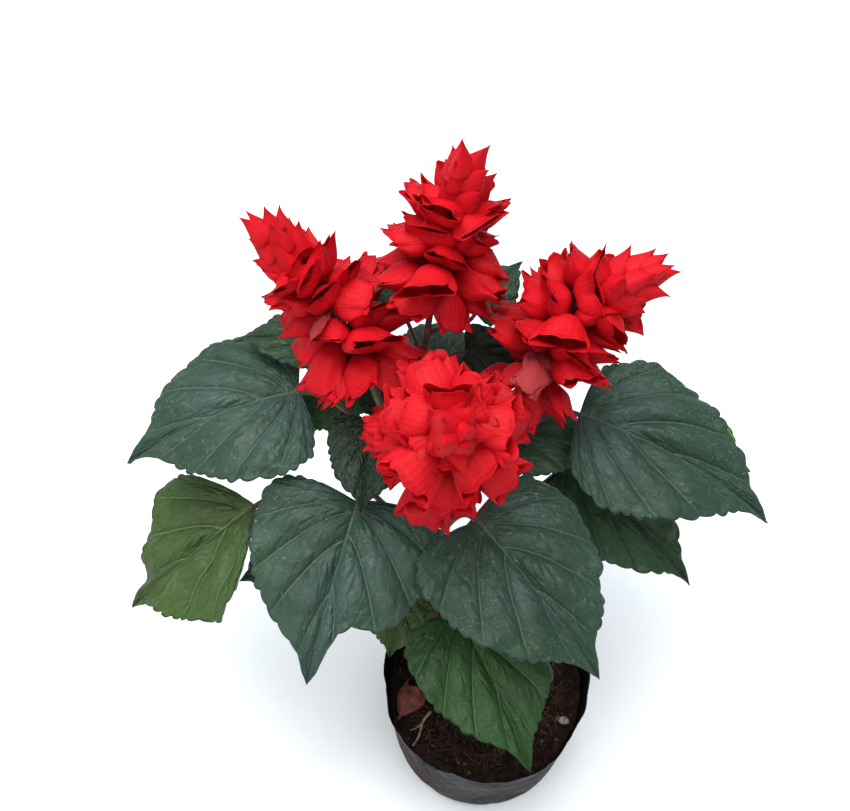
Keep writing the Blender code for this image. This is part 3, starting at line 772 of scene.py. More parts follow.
@dataclass(frozen=True)
class GrainFinish:
    """A plain grainy solid, such as straw or a pebble: two colours and a relief of one noise."""

    light: Color
    dark: Color
    scale: float

    def material(self, name: str) -> bpy.types.Material:
        """Noise between the two colours, and the same noise as relief.

        Args:
            name: The material's name.

        Returns:
            The material.
        """
        s = Shader(name)
        grain = s.noise(self.scale, 5.0, bend=0.4)
        color = s.mix(s.ramp(grain, 0.36, 0.66), self.light, self.dark)
        return s.finish(color, 0.8, s.bump(grain, 0.3, 0.8))


# ---------------------------------------------------------------- stems

AXIS_STEPS = 2  # curve points for each gap of a stem's path, as in its solid
BARK_STEPS = 6  # curve points for each gap of the path that the bark follows
BARK_RINGS = 120


@dataclass(frozen=True)
class Stem:
    """A stem or branch: its path from foot to tip and its radius at each, in millimetres.

    Its nodes stand node_gap of its length apart and swell its bark by the share swelling, over
    node_reach. From the share flowering_from of its length it is maroon.
    """

    name: str
    path: tuple[Place, ...]
    foot: float
    tip: float
    spike: str
    node_gap: float = 0.22
    flowering_from: float = 0.68
    swelling: float = 0.16
    node_reach: float = 2.5

    def axis(self, steps: int = AXIS_STEPS) -> Array:
        """The smooth curve through the path's points."""
        return smooth_path(np.array(self.path, float) * MM, steps)

    def length(self) -> float:
        """The axis's length in metres."""
        return float(np.linalg.norm(np.diff(self.axis(), axis=0), axis=1).sum())

    def place(self, share: float) -> tuple[Array, Array, float]:
        """Where the axis is at a share of its length.

        Args:
            share: The share, from 0 at the foot to 1 at the tip.

        Returns:
            The point, the axis's direction there and the stem's radius there.
        """
        path = self.axis()
        shares = np.array([share, min(share + 0.01, 1), share - 0.01])
        point, ahead, behind = at(shares, path_shares(path), path)
        return point, unit(ahead - behind), (self.foot + (self.tip - self.foot) * share) * MM

    def root_of(self, height: float) -> Array:
        """The axis point at a height in millimetres, where a leaf's stalk starts."""
        path = self.axis()
        return self.place(float(np.interp(height * MM, path[:, 2], path_shares(path))))[0]

    def make(self, finish: bpy.types.Material) -> None:
        """A bar of slightly square section that narrows from foot to tip, with swollen nodes.

        The radius is the taper times 1 + swelling * exp(-(distance to the nearest node /
        node_reach)^2).

        Args:
            finish: The stem's material.
        """
        path = self.axis(BARK_STEPS)
        fine = np.linspace(0, 1, BARK_RINGS)
        path = at(fine, path_shares(path), path)
        nodes = fine / self.node_gap
        to_node = np.abs(nodes - np.round(nodes)) * self.node_gap * self.length()
        swollen = 1 + self.swelling * np.exp(-((to_node / (self.node_reach * MM)) ** 2))
        radii = (self.foot + (self.tip - self.foot) * fine) * MM * swollen
        values = {"flowering": step_up(fine, self.flowering_from - 0.08, self.flowering_from)}
        corner = np.array([1.0, 1.0, 0.0])
        skin = tube(path, radii, corner, sides=16, ridge=0.07, ridges=4, values=values)
        add_piece(self.name + "_bark", skin, finish, self.name)


STEMS = (
    Stem(
        "main_stem",
        (
            (-22, 20, 44), (-25, 24, 80), (-28, 30, 125), (-28, 36, 170),
            (-25, 42, 205), (-22, 44, 228), (-21, 38, 244), (-21, 30, 258), (-21, 25, 266),
        ),
        3.2, 1.5, "front", node_gap=0.165, flowering_from=0.84,
    ),
    Stem(
        "branch_left",
        (
            (-28, 34, 150), (-40, 56, 190), (-53, 78, 222),
            (-62, 90, 240), (-70, 96, 252), (-79, 100, 265),
        ),
        2.0, 1.2, "left",
    ),
    Stem(
        "branch_back",
        (
            (-28, 32, 140), (-32, 62, 182), (-30, 90, 225),
            (-25, 104, 255), (-20, 113, 272), (-18, 115, 284),
        ),
        2.0, 1.2, "back",
    ),
    Stem(
        "branch_right",
        (
            (-28, 35, 160), (-8, 58, 194), (14, 74, 220),
            (24, 86, 240), (30, 92, 251), (40, 93, 259),
        ),
        2.0, 1.2, "right",
    ),
)


# ---------------------------------------------------------------- leaves

FIRST_VEIN = 0.14  # the row where the first side vein runs
VEIN_PITCH = 0.12  # rows from one side vein to the next
VEIN_STAGGER = 0.3  # how far on, in steps, the left half's side veins lie
BLADE_THICKNESS = 0.35 * MM
HALF_COLUMNS = np.array([
    0, 0.018, 0.045, 0.09, 0.15, 0.22, 0.30, 0.38, 0.46, 0.54,
    0.62, 0.70, 0.77, 0.83, 0.88, 0.92, 0.95, 0.975, 1,
])
SMALL_LEAF = 60  # millimetres long: a shorter blade takes fewer rows and every other column
BLADE_ROWS, SMALL_LEAF_ROWS = 196, 110
MARGIN_STEPS = 1500  # points from which the margin's length is measured
MIDRIB_POINTS = 66
STALK_RINGS, RIB_RINGS = 24, 26
RIB_REACH = 0.92  # the share of the blade's length at which the rib beneath it ends


def rolling(
    along: Array, across: Array, shortest: float, longest: float, count: int, rng: Random
) -> Array:
    """The sum of sine waves that run over a blade in random directions.

    Args:
        along: Distances along the midrib.
        across: Distances across it.
        shortest: The shortest wave in millimetres.
        longest: The longest one.
        count: How many waves there are.
        rng: The random numbers.

    Returns:
        The sum, each wave running from -1 to 1.
    """
    total = np.zeros(along.shape)
    for _ in range(count):
        wave = rng.uniform(shortest, longest) * MM
        turn, start = rng.uniform(0, TURN, 2)
        total += np.sin(TURN * (along * cos(turn) + across * sin(turn)) / wave + start)
    return total


@dataclass(frozen=True)
class Leaf:
    """A leaf: where its stalk starts and its blade begins, how it lies, its size and its tone.

    Millimetres and degrees. droop is how far its pitch falls and bend how far its heading turns
    from base to tip. fold is the rise of each half from the midrib, curl its bend down to the
    margin, and skew the curl's difference between left and right. lobe is how far the base is
    pushed back, as a share of the length, and ripple scales the blade's waves. bitten is a notch in
    the margin: its side (1 left, -1 right), its place and half width as shares of the margin's
    length, and its depth as a share of the blade's half width.
    """

    name: str
    stem: str
    root_height: float
    base: Place
    heading: float
    pitch: float
    roll: float
    length: float
    width: float
    tone: Foliage
    droop: float = 30
    bend: float = 0
    fold: float = 12
    curl: float = 30
    skew: float = 0
    lobe: float = 0.13
    ripple: float = 1.0
    bitten: tuple[float, float, float, float] = (1, 0, 1, 0)

    def outline(self, row: Array) -> tuple[Array, Array, Array]:
        """Where a row leaves the midrib and meets the margin, and the blade's half width there.

        The margin is an ellipse drawn to a point at its tip, with its base pushed back in two
        lobes. The row's place on the midrib is the fourth power of its place on the ellipse, so
        rows sweep forwards and the lowest fan out from the base.

        Args:
            row: The row's place, from 0 at the base to 1 at the tip.

        Returns:
            The distance along the midrib, the one at the margin, and the half width, in metres.
        """
        angle = row * pi
        share = (1 - np.cos(angle)) / 2
        lobes = self.lobe * np.sin(np.minimum(2 * angle, pi)) ** 1.3
        drawn_in = 1 - 0.35 * np.exp(-(((share - 0.86) / 0.1) ** 2))
        half = self.width / 2 * 1.42 * np.sin(angle)
        half = half * np.maximum(np.cos(angle / 2), 0) ** 1.5 * drawn_in
        return share**4 * self.length * MM, (share - lobes) * self.length * MM, half * MM

    def midrib(self) -> tuple[Array, Array, Array, Array, Array]:
        """The bent midrib, with distance 0 at the blade's base.

        Its pitch falls by droop times the share of the length to the power 1.2, its heading turns
        by bend times that share, and its points are the running sum of its tangents.

        Returns:
            Distances along it, its points, and its tangent, side and up directions.
        """
        shares = np.linspace(-0.3, 1.0, MIDRIB_POINTS)
        heading = np.radians(self.heading + self.bend * shares)
        pitch = np.radians(self.pitch - self.droop * np.maximum(shares, 0) ** 1.2)
        ahead = np.stack([np.cos(heading), np.sin(heading), 0 * heading], axis=-1)
        level = np.stack([-np.sin(heading), np.cos(heading), 0 * heading], axis=-1)
        tangents = np.cos(pitch)[:, None] * ahead + np.sin(pitch)[:, None] * UP
        roll = radians(self.roll)
        sides = cos(roll) * level + sin(roll) * np.cross(tangents, level)
        distances = shares * self.length * MM
        steps = (tangents[1:] + tangents[:-1]) / 2 * np.diff(distances)[:, None]
        points = np.vstack([np.zeros(3), np.cumsum(steps, axis=0)])
        points = points - at(np.array([0.0]), distances, points) + np.array(self.base) * MM
        return distances, points, tangents, sides, np.cross(tangents, sides)

    def surface(self, along: Array, across: Array) -> tuple[Array, Array]:
        """The smooth blade, before its relief.

        Each half rises from the midrib by fold and bends down by curl over the half width: its lean
        at a distance is fold - curl * distance / half width, and its points are that lean's arc.

        Args:
            along: Distances along the midrib in metres.
            across: Distances across it, left positive.

        Returns:
            The points and the upward normals there.
        """
        distances, *curves = self.midrib()
        points, _, sides, ups = (at(along, distances, curve) for curve in curves)
        half = self.width / 2 * MM
        left = np.sign(across)
        curl = np.radians(self.curl + self.skew * left) + 1e-4
        fold = radians(self.fold)
        lean = fold - curl * np.abs(across) / half
        out = (np.sin(fold) - np.sin(lean)) * half / curl
        rise = (np.cos(lean) - np.cos(fold)) * half / curl
        points = points + (out * left)[..., None] * sides + rise[..., None] * ups
        return points, np.cos(lean)[..., None] * ups - (np.sin(lean) * left)[..., None] * sides

    def relief(self, row: Array, reach: Array, along: Array, across: Array, rng: Random) -> Array:
        """How far the top stands above the smooth surface.

        Between side veins the blade domes by 1 - (1 - 2 d)^2, d being the distance to the nearest
        vein in steps, times a share of the step's own width there and a random strength, and falls
        to nothing at the midrib. To that come small puckers across the domes, a groove on the
        midrib, low waves that grow towards the margin, and short ones between the veins.

        Args:
            row: The points' rows.
            reach: Their share of the half width.
            along: Their distances along the midrib.
            across: Their distances across it.
            rng: The random numbers.

        Returns:
            The height in metres.
        """
        left = across > 0
        phase = (row - FIRST_VEIN) / VEIN_PITCH + VEIN_STAGGER / 2 * left
        off_vein = np.abs(phase - np.round(phase))
        runs = (np.gradient(place, axis=0) / np.gradient(row, axis=0) for place in (along, across))
        step = VEIN_PITCH * np.hypot(*runs)
        off_rib = 1 - np.exp(-((across / (3 * MM)) ** 2))
        strengths = rng.uniform(0.55, 1.35, (2, 12))
        strength = strengths[left.astype(int), np.floor(phase).astype(int) + 2]
        dome = (1 - (1 - 2 * off_vein) ** 2) * off_rib * (1 - 0.6 * reach**3) * strength
        pucker = np.sin(TURN * (reach * 7.5 + 0.37 * np.round(phase + 0.5) + 0.5 * left))
        relief = 0.15 * step * dome * (1 + 0.16 * pucker)
        relief -= 0.22 * MM * np.exp(-((across / (0.9 * MM)) ** 2))
        relief += 0.55 * MM * self.ripple * reach * rolling(along, across, 24, 55, 4, rng)
        return relief + 0.13 * MM * self.ripple * off_rib * rolling(along, across, 7, 15, 6, rng)

    def teeth(self, share: Array, left: Array, length: float, rng: Random) -> Array:
        """How far the scalloped margin stands out.

        Each tooth stands out by |sin(pi t)|^0.6, t being the share of the tooth with its crest
        drawn forwards, less the mean, and the teeth fade at the base and at the long tip.

        Args:
            share: The points' share of the margin's length.
            left: Whether they are on the left half.
            length: The margin's length in metres.
            rng: The random numbers.

        Returns:
            The distance in metres.
        """
        teeth = round(length / ((2.6 + 0.048 * self.length) * MM))
        starts = rng.uniform(0, 1, 2)
        count = teeth * share + np.where(left, *starts)
        count = count + 0.35 * np.sin(TURN * (2.7 * share + np.where(left, *starts[::-1])))
        number, t = np.floor(count).astype(int), count % 1.0
        size = rng.uniform(0.4, 1.3, (2, teeth + 4))[left.astype(int), number + 1]
        fading = step_up(share, 0.06, 0.24) * (1 - 0.9 * step_up(share, 0.78, 0.92))
        return 0.24 * length / teeth * fading * (size * np.sin(pi * t**1.35) ** 0.6 - 0.6)

    def rows(self) -> tuple[Array, Array]:
        """The blade's rows, evenly spaced along its margin.

        Returns:
            The rows' places and their distances along the margin in metres.
        """
        fine = np.linspace(0.004, 0.997, MARGIN_STEPS)
        _, edge, half = self.outline(fine)
        travelled = np.concatenate([[0], np.cumsum(np.hypot(np.diff(edge), np.diff(half)))])
        count = SMALL_LEAF_ROWS if self.length < SMALL_LEAF else BLADE_ROWS
        arc = np.linspace(0, travelled[-1], count)
        return np.interp(arc, travelled, fine)[:, None], arc[:, None]

    def blade(self, rng: Random) -> Skin:
        """The blade: rings over the top from the right margin to the left one and back underneath.

        Args:
            rng: The random numbers.

        Returns:
            The closed skin.
        """
        columns = HALF_COLUMNS[::2] if self.length < SMALL_LEAF else HALF_COLUMNS
        side = np.concatenate([-columns[:0:-1], columns])[None]
        row, arc = self.rows()
        vein, edge, half = self.outline(row)
        share = arc / arc[-1, 0]
        left, margin = side + 0 * share > 0, np.abs(side)
        bite_side, bite_place, bite_width, bite_depth = self.bitten
        bite = bite_depth * np.exp(-(((share - bite_place) / bite_width) ** 2))
        side = side * (1 - bite * (side * bite_side > 0))
        reach = np.abs(side)
        run = unit(np.gradient(np.hstack([edge, half]), axis=0))
        push = self.teeth(share, left, arc[-1, 0], rng) * margin**14
        along = vein + (edge - vein) * reach**1.45 - push * run[:, 1:]
        across = half * side + push * run[:, :1] * np.sign(side)

        relief = self.relief(row + 0 * side, reach, along, across, rng)
        wave = np.sin(TURN * arc / (27 * MM) + np.where(left, *rng.uniform(0, TURN, 2)))
        fading = step_up(share, 0.0, 0.2) * (1 - share**4)
        relief += 1.1 * MM * self.ripple * wave * reach**3 * fading
        points, normals = self.surface(along, across)
        top = points + relief[..., None] * normals
        under = (top - BLADE_THICKNESS * normals)[:, -2:0:-1]
        round_it = np.concatenate([side, side[:, -2:0:-1], side[:, :1]], axis=1)
        chart = np.stack(np.broadcast_arrays(row, (round_it + 1) / 2), axis=-1)
        near_base = 1 - step_up(along / (self.length * MM), 0.02, 0.22)
        near_rib = np.exp(-((across / (0.4 * MM)) ** 2)) * near_base
        flat = np.ones(under.shape[:2])
        values = {
            "under": np.concatenate([0 * relief, flat], axis=1),
            "stalk": np.concatenate([0.55 * near_rib, 0 * flat], axis=1),
        }
        return lofted(np.concatenate([top, under], axis=1), values, chart)

    def stalk(self, stem: Stem) -> Skin:
        """The stalk and the rib beneath the blade, as one tapering bar.

        The stalk is a cubic from the stem to the blade's base, and the rib follows the blade's
        underside, sunk by three quarters of its radius.

        Args:
            stem: The stem that the leaf grows from.

        Returns:
            The closed skin.
        """
        root = stem.root_of(self.root_height)
        distances, *curves = self.midrib()
        base, tangent, side, _ = (at(np.array([0.0]), distances, curve)[0] for curve in curves)
        scale = 0.6 + 0.4 * min(self.length / 80, 1)
        reach = float(np.linalg.norm(base - root))
        away = unit(unit(base - root) + 0.5 * UP)
        rib_along = np.linspace(0, RIB_REACH * self.length * MM, RIB_RINGS)
        taper = np.interp(rib_along / (self.length * MM), [0, 0.3, RIB_REACH], [1.15, 0.8, 0.2])
        rib_radii = taper * scale * MM
        rib, normals = self.surface(rib_along, 0 * rib_along)
        rib = rib - normals * (0.5 * MM + BLADE_THICKNESS + 0.75 * rib_radii)[:, None]
        end = rib[0] - 1.5 * MM * tangent
        petiole = hermite(root, away * reach * 0.6, end, tangent * reach * 0.8, STALK_RINGS)
        radii = np.concatenate([np.linspace(1.7, 1.2, STALK_RINGS) * scale * MM, rib_radii])
        values = {
            "under": np.concatenate([np.zeros(STALK_RINGS), np.ones(RIB_RINGS)])[1:],
            "stalk": np.concatenate([np.ones(STALK_RINGS), np.linspace(0.9, 0.1, RIB_RINGS)])[1:],
        }
        path = np.vstack([petiole[1:], rib])
        return tube(path, radii[1:], side, sides=10, ridge=0.06, ridges=2, values=values)

    def make(self, stem: Stem, finish: bpy.types.Material, rng: Random) -> None:
        """The blade and its stalk as one piece in place of the leaf's solid."""
        skin = joined([self.blade(rng), self.stalk(stem)])
        add_piece(self.name + "_blade", skin, finish, self.name)


LEAVES = (
    Leaf(
        "leaf_left_upper", "branch_left", 184, (-86, 89, 196), 192, 0, 0, 84, 82, Foliage.GREY,
        bend=14, skew=-6,
    ),
    Leaf(
        "leaf_left_lower", "main_stem", 120, (-108, 50, 161), 207, -28, 0, 86, 80, Foliage.OLIVE,
        droop=20, bend=-6, curl=16, lobe=-0.14, ripple=1.6,
    ),
    Leaf(
        "leaf_front_left", "main_stem", 132, (-59, 41, 182), 253, -12, -4, 81, 81, Foliage.GREY,
        skew=8, bitten=(1, 0.83, 0.09, 0.2),
    ),
    Leaf(
        "leaf_front_right", "main_stem", 148, (-8, 30, 186), 311, -8, 2, 84, 78, Foliage.GREY,
        skew=6, ripple=1.3,
    ),
    Leaf(
        "leaf_right_upper", "branch_right", 186, (38, 78, 195), 339, -3, 7, 98, 74, Foliage.GREY,
        bend=-9, lobe=0.03,
    ),
    Leaf("leaf_right_lower", "main_stem", 126, (36, 70, 164), 323, -14, 4, 83, 58, Foliage.DEEP),
    Leaf(
        "leaf_front_low", "main_stem", 100, (-15, 12, 128), 298, -5, 0, 78, 64, Foliage.FRESH,
        bend=-4,
    ),
    Leaf(
        "leaf_front_left_low", "main_stem", 90, (-40, 28, 112), 254, -20, 0, 32, 34,
        Foliage.OLIVE,
    ),
    Leaf("leaf_back_left", "branch_left", 200, (-72, 108, 206), 172, 6, 0, 46, 30, Foliage.DEEP),
    Leaf("leaf_left_small", "branch_left", 172, (-62, 98, 186), 204, -12, 0, 40, 30, Foliage.FRESH),
    Leaf("leaf_back_upper", "branch_back", 218, (-38, 112, 220), 120, 26, 10, 34, 26, Foliage.DEEP),
    Leaf("leaf_back_right", "branch_back", 232, (-8, 116, 218), 48, 24, 0, 34, 26, Foliage.DEEP),
    Leaf("leaf_centre", "branch_back", 174, (-25, 104, 190), 84, 2, 0, 38, 42, Foliage.SHADED),
    Leaf("leaf_centre_left", "branch_back", 182, (-40, 80, 196), 104, 4, 0, 42, 36, Foliage.SHADED),
    Leaf("leaf_right_back", "branch_back", 212, (-12, 100, 211), 352, 0, 4, 40, 30, Foliage.SHADED),
    Leaf(
        "leaf_left_drooping", "branch_left", 198, (-52, 66, 208), 262, -18, 0, 40, 38,
        Foliage.SHADED, droop=20,
    ),
    Leaf("leaf_right_inner", "branch_right", 172, (9, 72, 188), 2, -6, 0, 44, 42, Foliage.DEEP),
    Leaf("leaf_right_far", "main_stem", 112, (89, 96, 150), 336, 2, 0, 44, 46, Foliage.YOUNG),
    Leaf("leaf_left_far", "main_stem", 106, (-80, 42, 130), 192, -8, 0, 44, 36, Foliage.DEEP),
)


# ---------------------------------------------------------------- flower spikes

CALYX_SIDES, OUTER_STATIONS, INNER_STATIONS = 36, 20, 8
CALYX_WALL = 0.3 * MM
# A mouth's lobes: their middles and half widths, in degrees
LOBES = ((90, 72), (213, 52), (327, 52))
# How far behind its foot a calyx's stalk has its two rings
STALK_BEHIND = np.array([[2.2], [1.2]]) * MM
PEDICEL = 0.8 * MM  # the radius of a calyx's stalk
BUD_SIDES = 20
BUD_BELLY = 0.34  # the share of a bud's length at which it is widest
HUB_SIDES = 8  # of the hub that a whorl's solid has round its stem
CLEARANCE = 0.3 * MM  # between a stem and that hub
CORE_RINGS = 12


@dataclass(frozen=True)
class Calyx:
    """One bell, in metres: its foot, the way it points, its upper side, its size and its shape.

    flat is its section's height over its width, notch and flare the depth and outward lean of the
    mouth's lobes, bow the axis's bend, purse the mouth's narrowing, shut how far its lips close,
    frill the height of its small waves, and each row of crumple one wave: its depth, its turns, its
    rate and its start.
    """

    foot: Array
    direction: Array
    upward: Array
    length: float
    width: float
    flat: float
    notch: float
    flare: float
    bow: float
    crumple: Array
    tint: float
    purse: float = 0.3
    shut: float = 0.85
    frill: float = 0.012
    withered: float = 0.0

    def mouth(self, angles: Array) -> Array:
        """How far back from the full length the mouth's edge lies.

        There are three pointed lobes: a broad upper one and two narrower lower ones. x being the
        distance from a lobe's middle as a share of its half width, the edge lies back by notch *
        (0.35 x^0.6 + 0.65 x^2.5), give or take a small frill.

        Args:
            angles: Angles round the mouth, a quarter turn being its upper side.

        Returns:
            The distance at each, as a share of the length.
        """
        turned = np.degrees(angles)
        away = [np.abs((turned - middle + 180) % 360 - 180) / half for middle, half in LOBES]
        x = np.minimum(np.min(away, axis=0), 1.15)
        starts = self.crumple[:, 3]
        frill = np.sin(5 * angles + starts[0]) + 0.6 * np.sin(9 * angles + starts[1])
        return self.notch * (0.35 * x**0.6 + 0.65 * x**2.5) + self.frill * frill

    def wall(self, along: Array, angles: Array, inset: float) -> Array:
        """Points of the bell.

        The radius opens as (1 - (1 - s)^2.3)^0.8 to a belly and is pursed at the mouth, whose tips
        bend outwards. The section has three keels, 1 + 0.08 cos 3(angle - 90), and is flatter than
        it is wide; towards the mouth its lips close on each other by the share shut. Crumples and
        lengthwise folds are sines of both parameters, and the axis bows by bow * s^2.

        Args:
            along: Shares of its length.
            angles: Angles round it.
            inset: How far inside the outer face the points lie, in metres.

        Returns:
            The points by share and by angle.
        """
        s = along[:, None]
        back = self.mouth(angles)[None]
        closing = step_up(s, 0.4, 1.0)
        opened = (1 - (1 - s) ** 2.3) ** 0.8 * (1 - self.purse * closing)
        foot = PEDICEL / (self.width / 2)
        keels = 1 + 0.08 * step_up(s, 0.05, 0.4) * np.cos(3 * (angles - pi / 2))
        tips = np.clip(1 - back / self.notch, 0, 1) ** 1.5 * s**5
        radius = (foot + (1 - foot) * opened) * keels + self.flare * tips
        starts = self.crumple[:, 3]
        rumple = sum(
            depth * np.sin(turns * angles + rate * s + start)
            for depth, turns, rate, start in self.crumple
        )
        folds = 0.02 * np.sin(8 * angles + starts[2] + 2 * s)
        folds = folds + 2 * self.frill * np.sin(5 * angles + starts[3] - 3 * s)
        radius = radius * (1 + rumple * s + folds * s**1.5) * self.width / 2 - inset
        radius = np.maximum(radius, 0.35 * PEDICEL)
        side = unit(np.cross(self.upward, self.direction))
        lift = np.cross(self.direction, side)
        ahead = self.length * (s - back * s**3)
        out = radius * np.cos(angles)
        up = radius * np.sin(angles) * self.flat * (1 - self.shut * closing)
        up = up + self.bow * self.length * s**2
        axis = self.foot + ahead[..., None] * self.direction
        return axis + out[..., None] * side + up[..., None] * lift

    def skin(self) -> Skin:
        """The outer face from the stalk to the mouth, and the inner one back into the hollow.

        Returns:
            The closed skin.
        """
        angles = np.linspace(0, TURN, CALYX_SIDES, endpoint=False) + pi / 2
        outer = np.linspace(0, 1, OUTER_STATIONS) ** 0.9
        inner = np.linspace(0.985, 0.2, INNER_STATIONS)
        faces = self.wall(outer, angles, 0.0), self.wall(inner, angles, CALYX_WALL)
        behind = self.foot - STALK_BEHIND * self.direction
        pedicel = behind[:, None] + 0.9 * (faces[0][0] - self.foot)
        along = np.concatenate([[0, 0], outer, inner])
        around = np.linspace(0, 1, CALYX_SIDES + 1)
        chart = np.stack(np.broadcast_arrays(around[None], along[:, None]), axis=-1)
        values = {
            "along": along,
            "inside": np.concatenate([np.zeros(2 + OUTER_STATIONS), np.ones(INNER_STATIONS)]),
            "stalk": 1 - step_up(np.concatenate([[-0.1, -0.05], outer, inner]), -0.02, 0.05),
            "tint": self.tint,
            "withered": self.withered,
        }
        return lofted(np.concatenate([pedicel, *faces]), values, chart)


@dataclass(frozen=True)
class Bud:
    """A closed calyx at a spike's tip: a ribbed spindle with a long bent point. In metres."""

    foot: Array
    direction: Array
    spoke: Array
    length: float
    width: float
    bend: float
    tint: float

    def skin(self) -> Skin:
        """The spindle, with keels and a curved axis.

        Its radius is 0.16 + 0.84 (s / belly)^0.7 up to the widest place, and (1 - t)^1.5 (1 + 0.55
        t) from there, t being the share of the way on to the point.

        Returns:
            The closed skin.
        """
        s = np.concatenate([np.linspace(0, BUD_BELLY, 8), np.linspace(0.4, 0.985, 13)])
        t = np.clip((s - BUD_BELLY) / (1 - BUD_BELLY), 0, 1)
        opening = 0.16 + 0.84 * (s / BUD_BELLY) ** 0.7
        radius = np.where(s < BUD_BELLY, opening, (1 - t) ** 1.5 * (1 + 0.55 * t)) * self.width / 2
        angles = np.linspace(0, TURN, BUD_SIDES, endpoint=False)
        keels = 1 + 0.09 * np.cos(3 * angles) + 0.05 * np.cos(8 * angles + 4 * s[:, None])
        first = square_to(self.spoke, self.direction)
        second = np.cross(self.direction, first)
        circle = np.cos(angles)[:, None] * first + 0.86 * np.sin(angles)[:, None] * second
        bend = self.bend * self.length * (s**2.5)[:, None] * first
        rings = (self.foot + self.direction * self.length * s[:, None] + bend)[:, None]
        rings = rings + (radius[:, None] * keels)[..., None] * circle
        values = {
            "along": 0.2 + 0.8 * s, "inside": 0, "stalk": 0.4 * step_up(s, 0.93, 1.0),
            "tint": self.tint, "withered": 0,
        }
        return lofted(rings, values)


@dataclass(frozen=True)
class Whorl:
    """A ring of calyces: its distance below the axis's tip, and each calyx's lean, size and turn.

    Millimetres and degrees. A tilt of 90 stands straight out from the axis, and more than that
    hangs. ruffled is the share of bells with a wavy open mouth, and uneven widens the range of
    their lengths. The bells in the gaps are filled times the size of the full ones and stand at the
    share between of the way to the next. withered lists the full bells that have dried up.
    """

    below: float
    count: int
    tilt: float
    length: float
    width: float
    turn: float
    ruffled: float = 0.35
    uneven: float = 0.0
    filled: float = 0.85
    between: float = 0.5
    withered: tuple[int, ...] = ()

    def calyx(self, stem: Stem, index: float, young: bool, dead: bool, rng: Random) -> Calyx:
        """One bell, with its foot on the ring round the axis and small differences of its own.

        Args:
            stem: The stem that the whorl sits on.
            index: The bell's place round the ring, in steps from one bell to the next.
            young: Whether it is one of the smaller bells, which stand steeper and a little higher.
            dead: Whether it has withered.
            rng: The random numbers.

        Returns:
            The bell.
        """
        centre, direction, stem_radius = stem.place(1 - self.below * MM / stem.length())
        inner = (stem_radius + CLEARANCE) / cos(pi / HUB_SIDES) + 0.2 * MM
        first, second = across_frame(direction)
        size = self.filled if young else 1.0
        wavy = rng.uniform(0, 1) < self.ruffled
        tilt = radians(self.tilt + rng.uniform(-14, 14) - 18 * young)
        turn = radians(self.turn + rng.uniform(-14, 14)) + TURN * index / self.count
        spoke = cos(turn) * first + sin(turn) * second
        crumple = np.column_stack([
            rng.uniform(0.02, 0.07, 4) * (1 + 2 * dead), rng.integers(1, 6, 4),
            rng.uniform(-9, 9, 4), rng.uniform(0, TURN, 4),
        ])
        sway = rng.uniform(-0.5, 0.5) * np.cross(direction, spoke)
        return Calyx(
            foot=centre + spoke * (inner + 1.1 * MM)
            + direction * (rng.uniform(-1, 1) + 3.5 * young) * MM,
            direction=cos(tilt) * direction + sin(tilt) * spoke,
            upward=unit(sin(tilt) * direction - cos(tilt) * spoke + sway),
            length=self.length * MM * rng.uniform(0.9 - self.uneven, 1.16 + self.uneven) * size,
            width=self.width * MM * rng.uniform(1.35, 1.85) * (1 - 0.3 * dead) * size**0.5,
            flat=rng.uniform(0.6, 0.85) * (1 - 0.5 * dead),
            notch=rng.uniform(0.16, 0.26) if wavy else rng.uniform(0.20, 0.36),
            flare=rng.uniform(-0.05, 0.3),
            bow=rng.uniform(-0.16, 0.18),
            crumple=crumple,
            tint=rng.uniform(0.0, 0.6),
            purse=rng.uniform(0.0, 0.25) if wavy else rng.uniform(0.1, 0.45),
            shut=rng.uniform(0.6, 0.9) if wavy else rng.uniform(0.86, 0.95),
            frill=0.027 if wavy else 0.012,
            withered=float(dead),
        )

    def skin(self, stem: Stem, rng: Random) -> Skin:
        """The whorl's full bells, and one of another size above each gap between them.

        Args:
            stem: The stem that the whorl sits on.
            rng: The random numbers.

        Returns:
            All of them as one skin.
        """
        full = [self.calyx(stem, i, False, i in self.withered, rng) for i in range(self.count)]
        young = [self.calyx(stem, i + self.between, True, False, rng) for i in range(self.count)]
        return joined([calyx.skin() for calyx in full + young])


# A spike's tip, tier by tier: climb up its core, count, tilt, length and width
BUD_TIERS = ((0, 5, 32, 19, 9), (6, 4, 19, 19, 9), (12, 3, 8, 18, 8))


